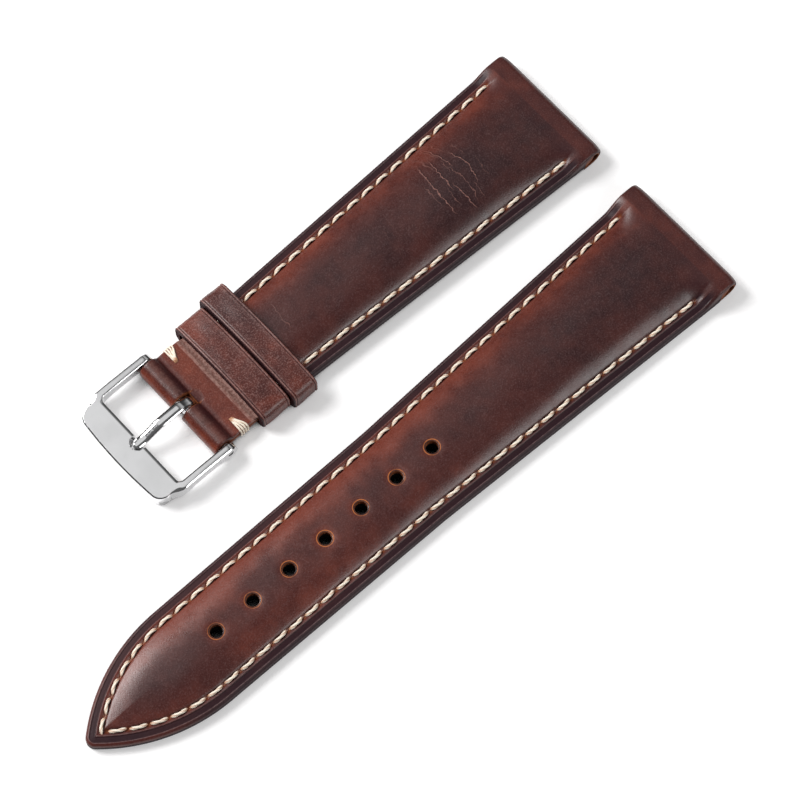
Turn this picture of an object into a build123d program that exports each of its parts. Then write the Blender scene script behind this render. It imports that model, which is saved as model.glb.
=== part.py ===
from build123d import *
import os
from math import atan2, degrees, sqrt

# A padded two-piece leather watch strap with a pin buckle and two keepers. All sizes are in mm.
# Both pieces lie flat, side by side, with their lug ends level: +X points to the lugs, +Z is up,
# and places along a strap are measured from its lug end. The floor is z = 0.

# Outline that both pieces share
lug_width = 22.0
lug_straight_length = 4.6
waist_place = 57.6
waist_width = 18.0
row_spacing = 29.6

# Layers of leather
lining_thickness = 0.9
top_thickness = 1.0
padding_wall = 0.6
border_width = 3.0
shoulder_rise = 0.75
shoulder_lean = 25

# Seam
stitch_inset = 2.1
stitch_pitch = 3.05
stitch_length = 2.35
stitch_width = 0.66
stitch_height = 0.5
groove_width = 0.85
groove_depth = 0.3
seam_start_place = 5.6
seam_nose_radius = 1.0
padding_nose_radius = 1.5

# Lug loop
lug_bore_radius = 1.0
loop_wall = 0.8
loop_length = 3.6
loop_ramp_length = 1.8

# Places where the crown's thickness is set
swell_place = 12.6
middle_place = 34.6

# Long piece
long_length = 118.6
long_lug_thickness = 3.9
long_middle_thickness = 3.7
long_waist_thickness = 3.3
long_tip_start_thickness = 3.0
long_tip_end_thickness = 2.75
tip_length = 20.0
tip_start_width = 17.3
tip_nose_radius = 1.4
hole_count = 7
hole_pitch = 7.0
last_hole_to_tip = 24.4
hole_radius = 1.0

# Short piece, whose length is the place of the buckle's spring bar
bar_place = 74.4
short_end_to_bar = 7.4
short_end_width = 17.5
short_loop_thickness = 3.0
short_lug_thickness = 3.7
short_middle_thickness = 3.55
short_waist_thickness = 3.1
short_end_thickness = 2.8

# Tail fold round the spring bar
tail_width = 17.2
tail_layer_thickness = 0.9
tail_bevel_length = 1.0
tail_bevel_drop = 0.3
fold_radius = 1.8
fold_neck_length = 2.6
slot_width = 2.3
slot_end_to_bar = 2.6

# Bar tacks, the threads wrapped round the tail's edges
tack_to_bar = 3.8
tack_thread = 0.5
tack_thread_gap = 0.06
tack_count = 4
tack_reach = 2.6

# Keepers
keeper_wall = 1.1
keeper_floor_thickness = 0.6
keeper_corner_radius = 1.3
keeper_inner_corner_radius = 0.4
keeper_arch_rise = 0.7
free_keeper_length = 4.5
free_keeper_travel = 16.0
fixed_keeper_length = 5.3
fixed_keeper_lap = 0.9
keeper_gap = 0.2

# Buckle frame
arm_thickness = 1.2
arm_side_clearance = 0.35
eye_radius = 1.3
window_length = 8.9
window_corner_radius = 0.8
plate_length = 4.6
plate_end_step = 0.85
plate_end_length = 2.2
frame_corner_radius = 1.9
frame_front_bow = 0.35
arm_crest_height = 3.35
arm_crest_length = 6.7
arm_underside_height = 1.1
arm_neck_length = 2.7
plate_inner_height = 3.2
plate_outer_height = 2.6
plate_underside_height = 0.8
plate_foot_length = 1.5
plate_bevel = 0.45
side_bevel_width = 0.5
side_bevel_height = 0.9
notch_radius = 1.2
notch_reach = 1.5
notch_shelf_height = 2.0

# Tongue
tongue_width = 1.6
tongue_thickness = 0.8
tongue_wall = 0.65
tongue_flat_height = 3.95
tongue_rise_length = 2.0
tongue_bend_length = 5.4
tongue_dip_length = 8.2
tongue_tip_length = 10.1
tongue_bend_radius = 1.2

# Spring bar
tube_radius = 0.8
tube_bore_radius = 0.65
tube_lip_length = 0.3
tube_end_clearance = 0.2
tip_pin_radius = 0.45
tip_collar_length = 0.8
tip_end_inset = 0.1
spring_wire_radius = 0.09
spring_wire_sides = 4
spring_turns = 9

# Clearances
running_clearance = 0.05
slide_clearance = 0.15
seat_clearance = 0.1
overrun = 5.0

# Values that follow from those above
lug_half = lug_width / 2
waist_half = waist_width / 2
loop_radius = lug_bore_radius + loop_wall
border_thickness = lining_thickness + top_thickness
short_underside = keeper_floor_thickness + slide_clearance
long_underside = 0
tip_start_place = long_length - tip_length
last_hole_place = long_length - last_hole_to_tip
short_end_place = bar_place - short_end_to_bar
slot_end_place = bar_place - slot_end_to_bar
tack_place = bar_place - tack_to_bar
fixed_keeper_place = short_end_place + fixed_keeper_lap - fixed_keeper_length
free_keeper_place = fixed_keeper_place - keeper_gap - free_keeper_length
window_front_place = bar_place + window_length
frame_front_place = window_front_place + plate_length
arm_crest_place = bar_place + arm_crest_length
arm_neck_place = bar_place + arm_neck_length
short_end_half = short_end_width / 2
tip_start_half = tip_start_width / 2
tail_half = tail_width / 2
tail_top = short_underside + 2 * tail_layer_thickness
lug_end_x = long_length / 2
bar_x = lug_end_x - bar_place
bar_z = fold_radius
arm_inner_half = tail_half + arm_side_clearance
arm_outer_half = arm_inner_half + arm_thickness
tube_half = arm_inner_half - tube_end_clearance
short_stations = [
    (loop_length, short_loop_thickness),
    (swell_place, short_lug_thickness),
    (middle_place, short_middle_thickness),
    (waist_place, short_waist_thickness),
    (short_end_place, short_end_thickness),
]
long_stations = [
    (loop_length, 2 * loop_radius),
    (swell_place, long_lug_thickness),
    (middle_place, long_middle_thickness),
    (waist_place, long_waist_thickness),
    (tip_start_place, long_tip_start_thickness),
    (long_length, long_tip_end_thickness),
]


def along(place):
    """X of a place measured from the lug end."""
    return lug_end_x - place


def between(place, stations):
    """Value at a place, in a straight line between stations of place and value."""
    for (start, first), (stop, last) in zip(stations, stations[1:]):
        if place <= stop:
            return first + (last - first) * (place - start) / (stop - start)
    return stations[-1][1]


def half_width(place, end_place, end_half):
    """Half the strap's width at a place, for a piece that ends at end_place."""
    stations = [(0, lug_half), (lug_straight_length, lug_half), (waist_place, waist_half), (end_place, end_half)]
    return between(place, stations)


free_keeper_far_place = free_keeper_place - free_keeper_travel
free_keeper_inner_half = half_width(free_keeper_far_place, short_end_place, short_end_half) + slide_clearance
free_keeper_inner_height = short_underside + between(free_keeper_far_place, short_stations) + slide_clearance
fixed_keeper_inner_half = half_width(fixed_keeper_place, short_end_place, short_end_half) + seat_clearance
fixed_keeper_inner_height = short_underside + between(fixed_keeper_place, short_stations) + seat_clearance
row_shift = (free_keeper_inner_half + keeper_wall - lug_half) / 2
short_y = row_spacing / 2 - row_shift
long_y = -row_spacing / 2 - row_shift


def side_points(start, end, end_half, inset):
    """Points down one side of a strap, as place and distance from the centre line."""
    places = [start] + [p for p in (lug_straight_length, waist_place) if start < p < end] + [end]
    return [(p, half_width(p, end, end_half) - inset) for p in places]


def short_outline(inset, start):
    """Flat face of the short piece between start and its tail end, inset from both sides."""
    side = side_points(start, short_end_place, short_end_half, inset)
    upper = [(along(p), short_y + half) for p, half in side]
    lower = [(along(p), short_y - half) for p, half in side]
    return make_face(Polyline(*upper, *reversed(lower), close=True))


def tip_corner_place(inset):
    """Place where the two arcs of the tip would cross, for an outline inset by some distance."""
    nose_cut = tip_nose_radius * (sqrt(2) - 1)
    reach = long_length + nose_cut - tip_start_place
    arc_radius = (reach**2 + tip_start_half**2) / (2 * tip_start_half)
    return tip_start_place + sqrt((arc_radius - inset) ** 2 - (arc_radius - tip_start_half) ** 2)


def long_outline(inset, start, nose_radius):
    """Flat face of the long piece from start to its pointed tip, inset from the edge."""
    side = side_points(start, tip_start_place, tip_start_half, inset)
    upper = [(along(p), long_y + half) for p, half in side]
    lower = [(along(p), long_y - half) for p, half in side]
    corner = (along(tip_corner_place(inset)), long_y)
    edges = [
        Polyline(*upper),
        TangentArc(upper[-1], corner, tangent=(-1, 0)),
        TangentArc(lower[-1], corner, tangent=(-1, 0)),
        Polyline(*lower),
        Line(upper[0], lower[0]),
    ]
    face = make_face([edge for line in edges for edge in line.edges()])
    return fillet(face.vertices().sort_by(Axis.X)[0], nose_radius)


def plate(face, bottom, thickness):
    """A flat layer of a strap."""
    return extrude(Pos(0, 0, bottom) * face, thickness)


def crown(row_y, underside, stations, drop, end_place, end_half):
    """Arched body through stations of place and thickness, lowered by drop, wider than the padding."""
    faces = []
    for place, thickness in stations:
        edge_half = half_width(place, end_place, end_half)
        padded_half = edge_half - border_width
        sag = thickness - border_thickness - shoulder_rise
        radius = (padded_half**2 + sag**2) / (2 * sag)
        top = underside + thickness - drop
        flank = (edge_half + padded_half) / 2
        side = top - (radius - sqrt(radius**2 - flank**2))
        section = make_face(
            [
                ThreePointArc((-flank, side), (0, top), (flank, side)),
                Line((flank, side), (flank, underside)),
                Line((flank, underside), (-flank, underside)),
                Line((-flank, underside), (-flank, side)),
            ]
        )
        faces.append(Plane((along(place), row_y, 0), x_dir=(0, 1, 0), z_dir=(1, 0, 0)) * section)
    return loft(Sketch() + faces, ruled=True)


def lug_loop(row_y, underside):
    """Folded end of the top leather, with the bore for the watch's own spring bar."""
    nose = Pos(along(loop_radius), loop_radius) * Circle(loop_radius)
    body = make_face(
        Polyline(
            (along(loop_radius), 0),
            (along(loop_length), underside),
            (along(loop_length), 2 * loop_radius),
            (along(loop_radius), 2 * loop_radius),
            close=True,
        )
    )
    bore = Pos(along(loop_radius), loop_radius) * Circle(lug_bore_radius)
    side_plane = Plane((0, row_y, 0), x_dir=(1, 0, 0), z_dir=(0, -1, 0))
    return extrude(side_plane * (nose + body - bore), lug_half, both=True)


def loop_ramp(row_y, underside):
    """Wedge that eases the border up to the top of the lug loop."""
    floor, border_top = underside + lining_thickness, underside + border_thickness
    wedge = make_face(
        Polyline(
            (along(loop_length), floor),
            (along(loop_length + loop_ramp_length), floor),
            (along(loop_length + loop_ramp_length), border_top),
            (along(loop_length), 2 * loop_radius),
            close=True,
        )
    )
    return extrude(side_plane(row_y) * wedge, lug_half, both=True)


def size_holes():
    """Cutters of the size holes, in a row down the long piece."""
    depth = long_lug_thickness + overrun
    cutter = Cylinder(hole_radius, depth, align=(Align.CENTER, Align.CENTER, Align.MIN))
    places = [last_hole_place - hole_pitch * i for i in range(hole_count)]
    return [Pos(along(place), long_y, -overrun / 2) * cutter for place in places]


def raised_block(face, underside, full_thickness):
    """Block over the padded part of a border, with walls that lean inward."""
    height = full_thickness - border_thickness
    return extrude(Pos(0, 0, underside + border_thickness) * face, height, taper=shoulder_lean)


def stitch():
    """One stitch, lying along X with its underside at z = 0."""
    half, flank = stitch_length / 2, stitch_width / 2
    blunt = flank / 2
    plan = Polyline(
        (-half, -blunt), (flank - half, -flank), (half - flank, -flank), (half, -blunt),
        (half, blunt), (half - flank, flank), (flank - half, flank), (-half, blunt),
        close=True,
    )
    return extrude(make_face(plan), stitch_height)


def seam(path, z):
    """Stitches at an even pitch along a path, seated at height z."""
    one = stitch()
    count = int((path.length - stitch_length) / stitch_pitch) + 1
    stitches = []
    for i in range(count):
        place = stitch_length / 2 + stitch_pitch * i
        point = path.position_at(place, position_mode=PositionMode.LENGTH)
        heading = path.tangent_at(place, position_mode=PositionMode.LENGTH)
        turn = degrees(atan2(heading.Y, heading.X))
        stitches.append(Pos(point.X, point.Y, z) * Rot(0, 0, turn) * one)
    return Compound(stitches)


def side_seam_path(side):
    """Line of the short piece's seam, on the side of +Y or -Y, as far as the fixed keeper."""
    places = [seam_start_place, waist_place, fixed_keeper_place - seat_clearance]
    points = []
    for place in sorted(places):
        half = half_width(place, short_end_place, short_end_half) - stitch_inset
        points.append((along(place), short_y + side * half))
    return Wire(Polyline(*points).edges())


def groove(outer_face, inner_face, underside):
    """Channel that the stitches lie in, between two outlines."""
    return plate(outer_face - inner_face, underside + border_thickness - groove_depth, overrun)


def side_plane(row_y):
    """Plane along a strap seen from the -Y side, at its centre line."""
    return Plane((0, row_y, 0), x_dir=(1, 0, 0), z_dir=(0, -1, 0))


def rod(radius, start_y, end_y):
    """Round rod on the spring bar's axis, between two distances from the centre line."""
    rod_plane = Plane((bar_x, short_y + start_y, bar_z), x_dir=(1, 0, 0), z_dir=(0, 1, 0))
    return extrude(rod_plane * Circle(radius), end_y - start_y)


def make_short_leathers():
    """Top leather, padding and lining of the short piece."""
    lining = plate(short_outline(0, loop_length), short_underside, lining_thickness)
    floor = short_underside + lining_thickness
    padding_inset = border_width + padding_wall
    padding = plate(short_outline(padding_inset, loop_length), floor, overrun) & crown(
        short_y, short_underside, short_stations, top_thickness, short_end_place, short_end_half
    )
    raised = raised_block(
        short_outline(border_width, loop_radius), short_underside, short_lug_thickness
    ) & crown(short_y, short_underside, short_stations, 0, short_end_place, short_end_half)
    border = plate(short_outline(0, loop_length), floor, top_thickness)
    channel = groove(
        short_outline(stitch_inset - groove_width / 2, loop_length),
        short_outline(stitch_inset + groove_width / 2, loop_length),
        short_underside,
    )
    ramp = loop_ramp(short_y, short_underside) & plate(short_outline(0, loop_length), floor, overrun)
    top = border - channel + raised + ramp - padding + lug_loop(short_y, short_underside)
    return top, padding, lining


def make_long_leathers():
    """Top leather, padding and lining of the long piece, with the size holes through all three."""
    floor = long_underside + lining_thickness
    padding_inset = border_width + padding_wall
    lining = plate(long_outline(0, loop_length, tip_nose_radius), long_underside, lining_thickness)
    padding = plate(long_outline(padding_inset, loop_length, padding_nose_radius), floor, overrun) & crown(
        long_y, long_underside, long_stations, top_thickness, tip_start_place, tip_start_half
    )
    raised = raised_block(
        long_outline(border_width, loop_radius, padding_nose_radius), long_underside, long_lug_thickness
    ) & crown(long_y, long_underside, long_stations, 0, tip_start_place, tip_start_half)
    border = plate(long_outline(0, loop_length, tip_nose_radius), floor, top_thickness)
    channel = groove(
        long_outline(stitch_inset - groove_width / 2, loop_length, seam_nose_radius),
        long_outline(stitch_inset + groove_width / 2, loop_length, seam_nose_radius),
        long_underside,
    )
    full = plate(long_outline(0, loop_length, tip_nose_radius), floor, overrun)
    ramp = loop_ramp(long_y, long_underside) & full
    top = border - channel + raised + ramp - padding + lug_loop(long_y, long_underside)
    holes = size_holes()
    return top - holes, padding - holes, lining - holes


def make_tail_fold():
    """Tail leather that runs round the spring bar and back, slotted for the tongue."""
    neck = bar_place - fold_neck_length
    layers = make_face(
        Polyline(
            (along(short_end_place), short_underside),
            (along(short_end_place), tail_top - tail_bevel_drop),
            (along(short_end_place + tail_bevel_length), tail_top),
            (along(neck), tail_top),
            (bar_x, 2 * fold_radius),
            (bar_x, 0),
            (along(neck), short_underside),
            close=True,
        )
    )
    bar = Pos(bar_x, bar_z)
    profile = layers + bar * Circle(fold_radius) - bar * Circle(tube_radius + running_clearance)
    slot_length = bar_place - slot_end_place + 2 * fold_radius
    slot = Pos(along(slot_end_place), short_y, bar_z) * Box(
        slot_length, slot_width, 2 * overrun, align=(Align.MAX, Align.CENTER, Align.CENTER)
    )
    return extrude(side_plane(short_y) * profile, tail_half, both=True) - slot


def make_bar_tack(side):
    """Threads wrapped round one edge of the tail."""
    inner, outer = tail_half - tack_reach, tail_half + tack_thread
    wrap = make_face(
        Polyline(
            (side * inner, short_underside - tack_thread),
            (side * outer, short_underside - tack_thread),
            (side * outer, tail_top + tack_thread),
            (side * inner, tail_top + tack_thread),
            (side * inner, tail_top),
            (side * tail_half, tail_top),
            (side * tail_half, short_underside),
            (side * inner, short_underside),
            close=True,
        )
    )
    corners = wrap.vertices().filter_by(lambda v: abs(v.X) > outer - tack_thread / 2)
    wrap = chamfer(corners, tack_thread / 2)
    step = tack_thread + tack_thread_gap
    first = tack_place - step * (tack_count - 1) / 2
    threads = []
    for i in range(tack_count):
        plane = Plane((along(first + step * i), short_y, 0), x_dir=(0, 1, 0), z_dir=(1, 0, 0))
        threads.append(extrude(plane * wrap, tack_thread / 2, both=True))
    return Compound(threads)


def keeper_face(half, bottom, top, corner):
    """Section of a keeper: flat floor, upright sides, arched top and rounded corners."""
    side_top = top - keeper_arch_rise
    face = make_face(
        [
            *Polyline((-half, side_top), (-half, bottom), (half, bottom), (half, side_top)).edges(),
            ThreePointArc((half, side_top), (0, top), (-half, side_top)),
        ]
    )
    return fillet(face.vertices(), corner)


def make_keeper(place, length, inner_half, bottom, inner_top):
    """Leather band round the strap."""
    outer = keeper_face(inner_half + keeper_wall, bottom, inner_top + keeper_wall, keeper_corner_radius)
    inner = keeper_face(inner_half, bottom + keeper_floor_thickness, inner_top, keeper_inner_corner_radius)
    plane = Plane((along(place + length), short_y, 0), x_dir=(0, 1, 0), z_dir=(1, 0, 0))
    return extrude(plane * (outer - inner), length)


def make_buckle_frame():
    """Frame with a wide front plate, two arms and an eye at the end of each arm."""
    corner_x = along(frame_front_place - frame_front_bow)
    back_x = along(bar_place - eye_radius)
    window_x = along(window_front_place)
    plate_half = arm_outer_half - plate_end_step
    plate_x = window_x - plate_end_length
    ahead = ((-1, 0), (-1, 0))
    outer = make_face(
        [
            *Polyline(
                (window_x, -arm_outer_half), (back_x, -arm_outer_half),
                (back_x, arm_outer_half), (window_x, arm_outer_half),
            ).edges(),
            Spline((window_x, arm_outer_half), (plate_x, plate_half), tangents=ahead),
            Spline((window_x, -arm_outer_half), (plate_x, -plate_half), tangents=ahead),
            Line((plate_x, plate_half), (corner_x, plate_half)),
            Line((plate_x, -plate_half), (corner_x, -plate_half)),
            ThreePointArc((corner_x, plate_half), (along(frame_front_place), 0), (corner_x, -plate_half)),
        ]
    )
    outer = fillet(outer.vertices().sort_by(Axis.X)[:2], frame_corner_radius)
    window = make_face(
        Polyline(
            (window_x, -arm_inner_half), (back_x + overrun, -arm_inner_half),
            (back_x + overrun, arm_inner_half), (window_x, arm_inner_half), close=True,
        )
    )
    window = fillet(window.vertices().sort_by(Axis.X)[:2], window_corner_radius)
    plan = extrude(Pos(0, short_y) * (outer - window), 2 * overrun)
    front_x = along(frame_front_place)
    side = make_face(
        Polyline(
            (bar_x, bar_z + eye_radius),
            (along(arm_crest_place), arm_crest_height),
            (window_x, plate_inner_height),
            (front_x + plate_bevel, plate_outer_height),
            (front_x, plate_outer_height - plate_bevel),
            (front_x, 0),
            (front_x + plate_foot_length, 0),
            (window_x, plate_underside_height),
            (along(arm_crest_place), arm_underside_height),
            (along(arm_neck_place), arm_underside_height),
            (bar_x, bar_z - eye_radius),
            close=True,
        )
    )
    side = side + Pos(bar_x, bar_z) * Circle(eye_radius)
    side = side - Pos(bar_x, bar_z) * Circle(tip_pin_radius + running_clearance)
    body = plan & extrude(side_plane(short_y) * side, arm_outer_half, both=True)
    bevel_start = arm_crest_height - side_bevel_height
    bevel = make_face(
        Polyline(
            (-arm_outer_half, 0), (-arm_outer_half, bevel_start),
            (side_bevel_width - arm_outer_half, arm_crest_height),
            (arm_outer_half - side_bevel_width, arm_crest_height),
            (arm_outer_half, bevel_start), (arm_outer_half, 0), close=True,
        )
    )
    front_plane = Plane((front_x, short_y, 0), x_dir=(0, 1, 0), z_dir=(1, 0, 0))
    body = body & extrude(front_plane * bevel, back_x - front_x)
    notch_x = along(window_front_place + notch_reach - notch_radius)
    notch = make_face(
        Polyline(
            (notch_x, -notch_radius), (window_x + overrun, -notch_radius),
            (window_x + overrun, notch_radius), (notch_x, notch_radius), close=True,
        )
    )
    notch = notch + Pos(notch_x, 0) * Circle(notch_radius)
    return body - extrude(Pos(0, short_y, notch_shelf_height) * notch, overrun)


def make_buckle_tongue():
    """Tongue rolled round the spring bar, with a raised flat and a tip that lies in the notch."""
    roll_radius = tube_radius + running_clearance + tongue_wall
    tip_top = notch_shelf_height + seat_clearance + tongue_thickness
    tip_x = bar_x - tongue_tip_length
    top = [
        (bar_x, bar_z + roll_radius),
        (bar_x - tongue_rise_length, tongue_flat_height),
        (bar_x - tongue_bend_length, tongue_flat_height),
        (bar_x - tongue_dip_length, tip_top),
        (tip_x, tip_top),
    ]
    under = [(x, z - tongue_thickness) for x, z in top]
    blade = make_face(Polyline(*top, *reversed(under), close=True))
    bends = blade.vertices().filter_by(lambda v: tip_x < v.X < bar_x)
    blade = fillet(bends, tongue_bend_radius)
    bar = Pos(bar_x, bar_z)
    profile = blade + bar * Circle(roll_radius) - bar * Circle(tube_radius + running_clearance)
    half = tongue_width / 2
    plan = make_face(
        [
            *Polyline(
                (tip_x + half, -half), (bar_x + 2 * roll_radius, -half),
                (bar_x + 2 * roll_radius, half), (tip_x + half, half),
            ).edges(),
            ThreePointArc((tip_x + half, half), (tip_x, 0), (tip_x + half, -half)),
        ]
    )
    return extrude(side_plane(short_y) * profile, half, both=True) & extrude(Pos(0, short_y) * plan, 2 * overrun)


def make_bar_tube():
    """Tube of the spring bar, closed in at both ends to hold the tips."""
    chamber_half = tube_half - tube_lip_length
    tube = rod(tube_radius, -tube_half, tube_half) - rod(tube_bore_radius, -chamber_half, chamber_half)
    return tube - rod(tip_pin_radius + running_clearance, -tube_half - overrun, tube_half + overrun)


def make_bar_tip(side):
    """Sprung tip: a collar inside the tube and a pin through the arm's eye."""
    collar_end = tube_half - tube_lip_length - running_clearance
    pin_end = arm_outer_half - tip_end_inset
    collar = rod(tube_bore_radius - running_clearance, collar_end - tip_collar_length, collar_end)
    pin = rod(tip_pin_radius, collar_end, pin_end)
    tip = collar + pin
    return tip if side > 0 else mirror(tip, Plane.XZ.offset(-short_y))


def make_bar_spring():
    """Coil spring between the two tips."""
    half = tube_half - tube_lip_length - tip_collar_length - 2 * running_clearance - spring_wire_radius
    radius = tube_bore_radius - running_clearance - spring_wire_radius
    path = Helix(pitch=2 * half / spring_turns, height=2 * half, radius=radius)
    start = path.location_at(0)
    wire = sweep(start * RegularPolygon(spring_wire_radius, spring_wire_sides), path=path)
    return Pos(bar_x, short_y - half, bar_z) * Rot(-90, 0, 0) * wire


def seam_path_of_long_piece():
    """Line of the long seam: down one side, round the tip and back."""
    face = long_outline(stitch_inset, seam_start_place, seam_nose_radius)
    return Wire(face.edges().sort_by(Axis.X)[:-1])


short_top, short_padding, short_lining = make_short_leathers()
long_top, long_padding, long_lining = make_long_leathers()
short_seam_z = short_underside + border_thickness - groove_depth
long_seam_z = long_underside + border_thickness - groove_depth
fixed_keeper_bottom = short_underside - seat_clearance - keeper_floor_thickness

nodes = {
    "short_top_leather": short_top,
    "short_padding": short_padding,
    "short_lining": short_lining,
    "short_stitching_left": seam(side_seam_path(1), short_seam_z),
    "short_stitching_right": seam(side_seam_path(-1), short_seam_z),
    "tail_fold": make_tail_fold(),
    "bar_tack_left": make_bar_tack(1),
    "bar_tack_right": make_bar_tack(-1),
    "fixed_keeper": make_keeper(
        fixed_keeper_place, fixed_keeper_length, fixed_keeper_inner_half,
        fixed_keeper_bottom, fixed_keeper_inner_height,
    ),
    "free_keeper": make_keeper(
        free_keeper_place, free_keeper_length, free_keeper_inner_half, 0, free_keeper_inner_height
    ),
    "buckle_frame": make_buckle_frame(),
    "buckle_tongue": make_buckle_tongue(),
    "bar_tube": make_bar_tube(),
    "bar_tip_left": make_bar_tip(1),
    "bar_tip_right": make_bar_tip(-1),
    "bar_spring": make_bar_spring(),
    "long_top_leather": long_top,
    "long_padding": long_padding,
    "long_lining": long_lining,
    "long_stitching": seam(seam_path_of_long_piece(), long_seam_z),
}

os.makedirs("parts", exist_ok=True)
for name, shape in nodes.items():
    export_step(shape, f"parts/{name}.step")
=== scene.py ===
"""Looks of a padded leather watch strap with a steel pin buckle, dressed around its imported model.

Inside this file lengths are in millimetres, as on the maker's drawing; write_points() turns finished
points into Blender's metres. A place is a distance along a strap piece, measured from its lug end.
"""

import logging
import math
from collections.abc import Sequence
from dataclasses import dataclass, field
from enum import Enum

import bpy
import numpy as np
from mathutils import Matrix, Vector

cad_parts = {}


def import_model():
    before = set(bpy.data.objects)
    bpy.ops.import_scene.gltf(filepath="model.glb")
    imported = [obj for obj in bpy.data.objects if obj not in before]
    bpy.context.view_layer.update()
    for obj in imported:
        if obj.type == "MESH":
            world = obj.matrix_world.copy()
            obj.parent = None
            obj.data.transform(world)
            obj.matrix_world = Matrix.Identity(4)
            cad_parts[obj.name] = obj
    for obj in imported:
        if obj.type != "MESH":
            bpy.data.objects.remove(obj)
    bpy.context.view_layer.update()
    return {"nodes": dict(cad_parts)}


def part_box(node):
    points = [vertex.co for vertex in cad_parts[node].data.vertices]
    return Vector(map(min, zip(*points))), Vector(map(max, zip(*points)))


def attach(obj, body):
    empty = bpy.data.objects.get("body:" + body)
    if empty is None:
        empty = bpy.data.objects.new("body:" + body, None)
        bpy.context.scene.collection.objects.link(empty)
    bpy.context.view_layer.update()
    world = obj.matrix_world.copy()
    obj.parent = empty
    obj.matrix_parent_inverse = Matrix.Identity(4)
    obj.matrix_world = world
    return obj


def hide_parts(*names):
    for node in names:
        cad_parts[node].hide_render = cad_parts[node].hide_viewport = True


MM = 0.001
WELD = 0.002
FIRST_HOLE_PLACE = 52.2
HOLE_PITCH = 7.0
HOLE_COUNT = 7
HOLE_PLACES = [FIRST_HOLE_PLACE + HOLE_PITCH * i for i in range(HOLE_COUNT)]
log = logging.getLogger("strap")

Piece = bpy.types.Object
Material = bpy.types.Material
Tree = bpy.types.NodeTree
Link = tuple[bpy.types.Node, str | int]


class Slot(Enum):
    """Names of the record's material slots, passed along with each piece."""

    LEATHER = "oxblood_leather"
    LINING = "lining_leather"
    PADDING = "padding"
    THREAD = "thread"
    STEEL = "polished_steel"
    BAR = "spring_bar_steel"


def smooth_step(value: np.ndarray | float, start: float, stop: float) -> np.ndarray:
    """Ease from 0 to 1 between two values.

    Args:
        value: What is measured.
        start: Where the result leaves 0.
        stop: Where the result reaches 1.

    Returns:
        The eased share, of the shape of value.
    """
    share = np.clip((np.asarray(value, float) - start) / (stop - start), 0, 1)
    return share * share * (3 - 2 * share)


def bump(value: np.ndarray | float, centre: float, width: float) -> np.ndarray:
    """Bell curve of height 1 about a centre."""
    return np.exp(-(((np.asarray(value, float) - centre) / width) ** 2))


def smooth_between(value: np.ndarray | float, stations: Sequence[tuple[float, float]]) -> np.ndarray:
    """Curve through stations without a kink at any of them.

    Args:
        value: Where the curve is read.
        stations: Pairs of position and height, in rising order.

    Returns:
        The height at each position.
    """
    at = np.array([station[0] for station in stations])
    height = np.array([station[1] for station in stations])
    slope = np.gradient(height, at)
    value = np.clip(np.asarray(value, float), at[0], at[-1])
    index = np.clip(np.searchsorted(at, value) - 1, 0, len(at) - 2)
    span = at[index + 1] - at[index]
    share = (value - at[index]) / span
    rest = 1 - share
    return (
        height[index] * (1 + 2 * share) * rest**2
        + height[index + 1] * (3 - 2 * share) * share**2
        + slope[index] * span * share * rest**2
        - slope[index + 1] * span * rest * share**2
    )


def deselect() -> None:
    """Leave nothing selected, in object mode."""
    if bpy.context.object is not None and bpy.context.object.mode != "OBJECT":
        bpy.ops.object.mode_set(mode="OBJECT")
    bpy.ops.object.select_all(action="DESELECT")


def activate(piece: Piece) -> None:
    """Select one piece alone and make it the active one."""
    deselect()
    piece.select_set(True)
    bpy.context.view_layer.objects.active = piece


def modify(piece: Piece, kind: str, **settings: object) -> None:
    """Add a modifier to a piece and apply it.

    Args:
        piece: The piece.
        kind: Blender's name of the kind of modifier.
        settings: Values of the modifier.
    """
    activate(piece)
    modifier = piece.modifiers.new(kind.lower(), kind)
    for name, value in settings.items():
        setattr(modifier, name, value)
    bpy.ops.object.modifier_apply(modifier=modifier.name)


def edit_all(piece: Piece) -> None:
    """Open a piece in edit mode with everything selected."""
    activate(piece)
    bpy.ops.object.mode_set(mode="EDIT")
    bpy.ops.mesh.select_all(action="SELECT")


def weld(piece: Piece) -> None:
    """Merge the vertices of a piece that lie on each other."""
    edit_all(piece)
    bpy.ops.mesh.remove_doubles(threshold=WELD * MM)
    bpy.ops.object.mode_set(mode="OBJECT")


def face_outwards(piece: Piece) -> None:
    """Turn all faces of a closed piece over if they point inwards."""
    mesh = piece.data
    mesh.calc_loop_triangles()
    points = read_points(piece)
    corners = np.zeros(len(mesh.loop_triangles) * 3, np.int32)
    mesh.loop_triangles.foreach_get("vertices", corners)
    first, second, third = points[corners.reshape(-1, 3).T]
    if np.einsum("ij,ij->i", first, np.cross(second, third)).sum() < 0:
        edit_all(piece)
        bpy.ops.mesh.flip_normals()
        bpy.ops.object.mode_set(mode="OBJECT")


def soften(piece: Piece, degrees: float = 40.0) -> None:
    """Shade a piece smooth, apart from edges sharper than some angle."""
    activate(piece)
    bpy.ops.object.shade_smooth_by_angle(angle=math.radians(degrees))


def read_points(piece: Piece) -> np.ndarray:
    """Vertex places of a piece, in millimetres, one row each."""
    places = np.zeros(len(piece.data.vertices) * 3, np.float32)
    piece.data.vertices.foreach_get("co", places)
    return places.reshape(-1, 3).astype(float) / MM


def write_points(piece: Piece, places: np.ndarray) -> None:
    """Set the vertex places of a piece from rows in millimetres."""
    piece.data.vertices.foreach_set("co", (np.asarray(places) * MM).astype(np.float32).ravel())
    piece.data.update()


def write_mark(piece: Piece, name: str, values: np.ndarray) -> None:
    """Store one number per vertex under a name that a material can read."""
    mark = piece.data.attributes.get(name) or piece.data.attributes.new(name, "FLOAT", "POINT")
    mark.data.foreach_set("value", np.asarray(values, np.float32).ravel())


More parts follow.
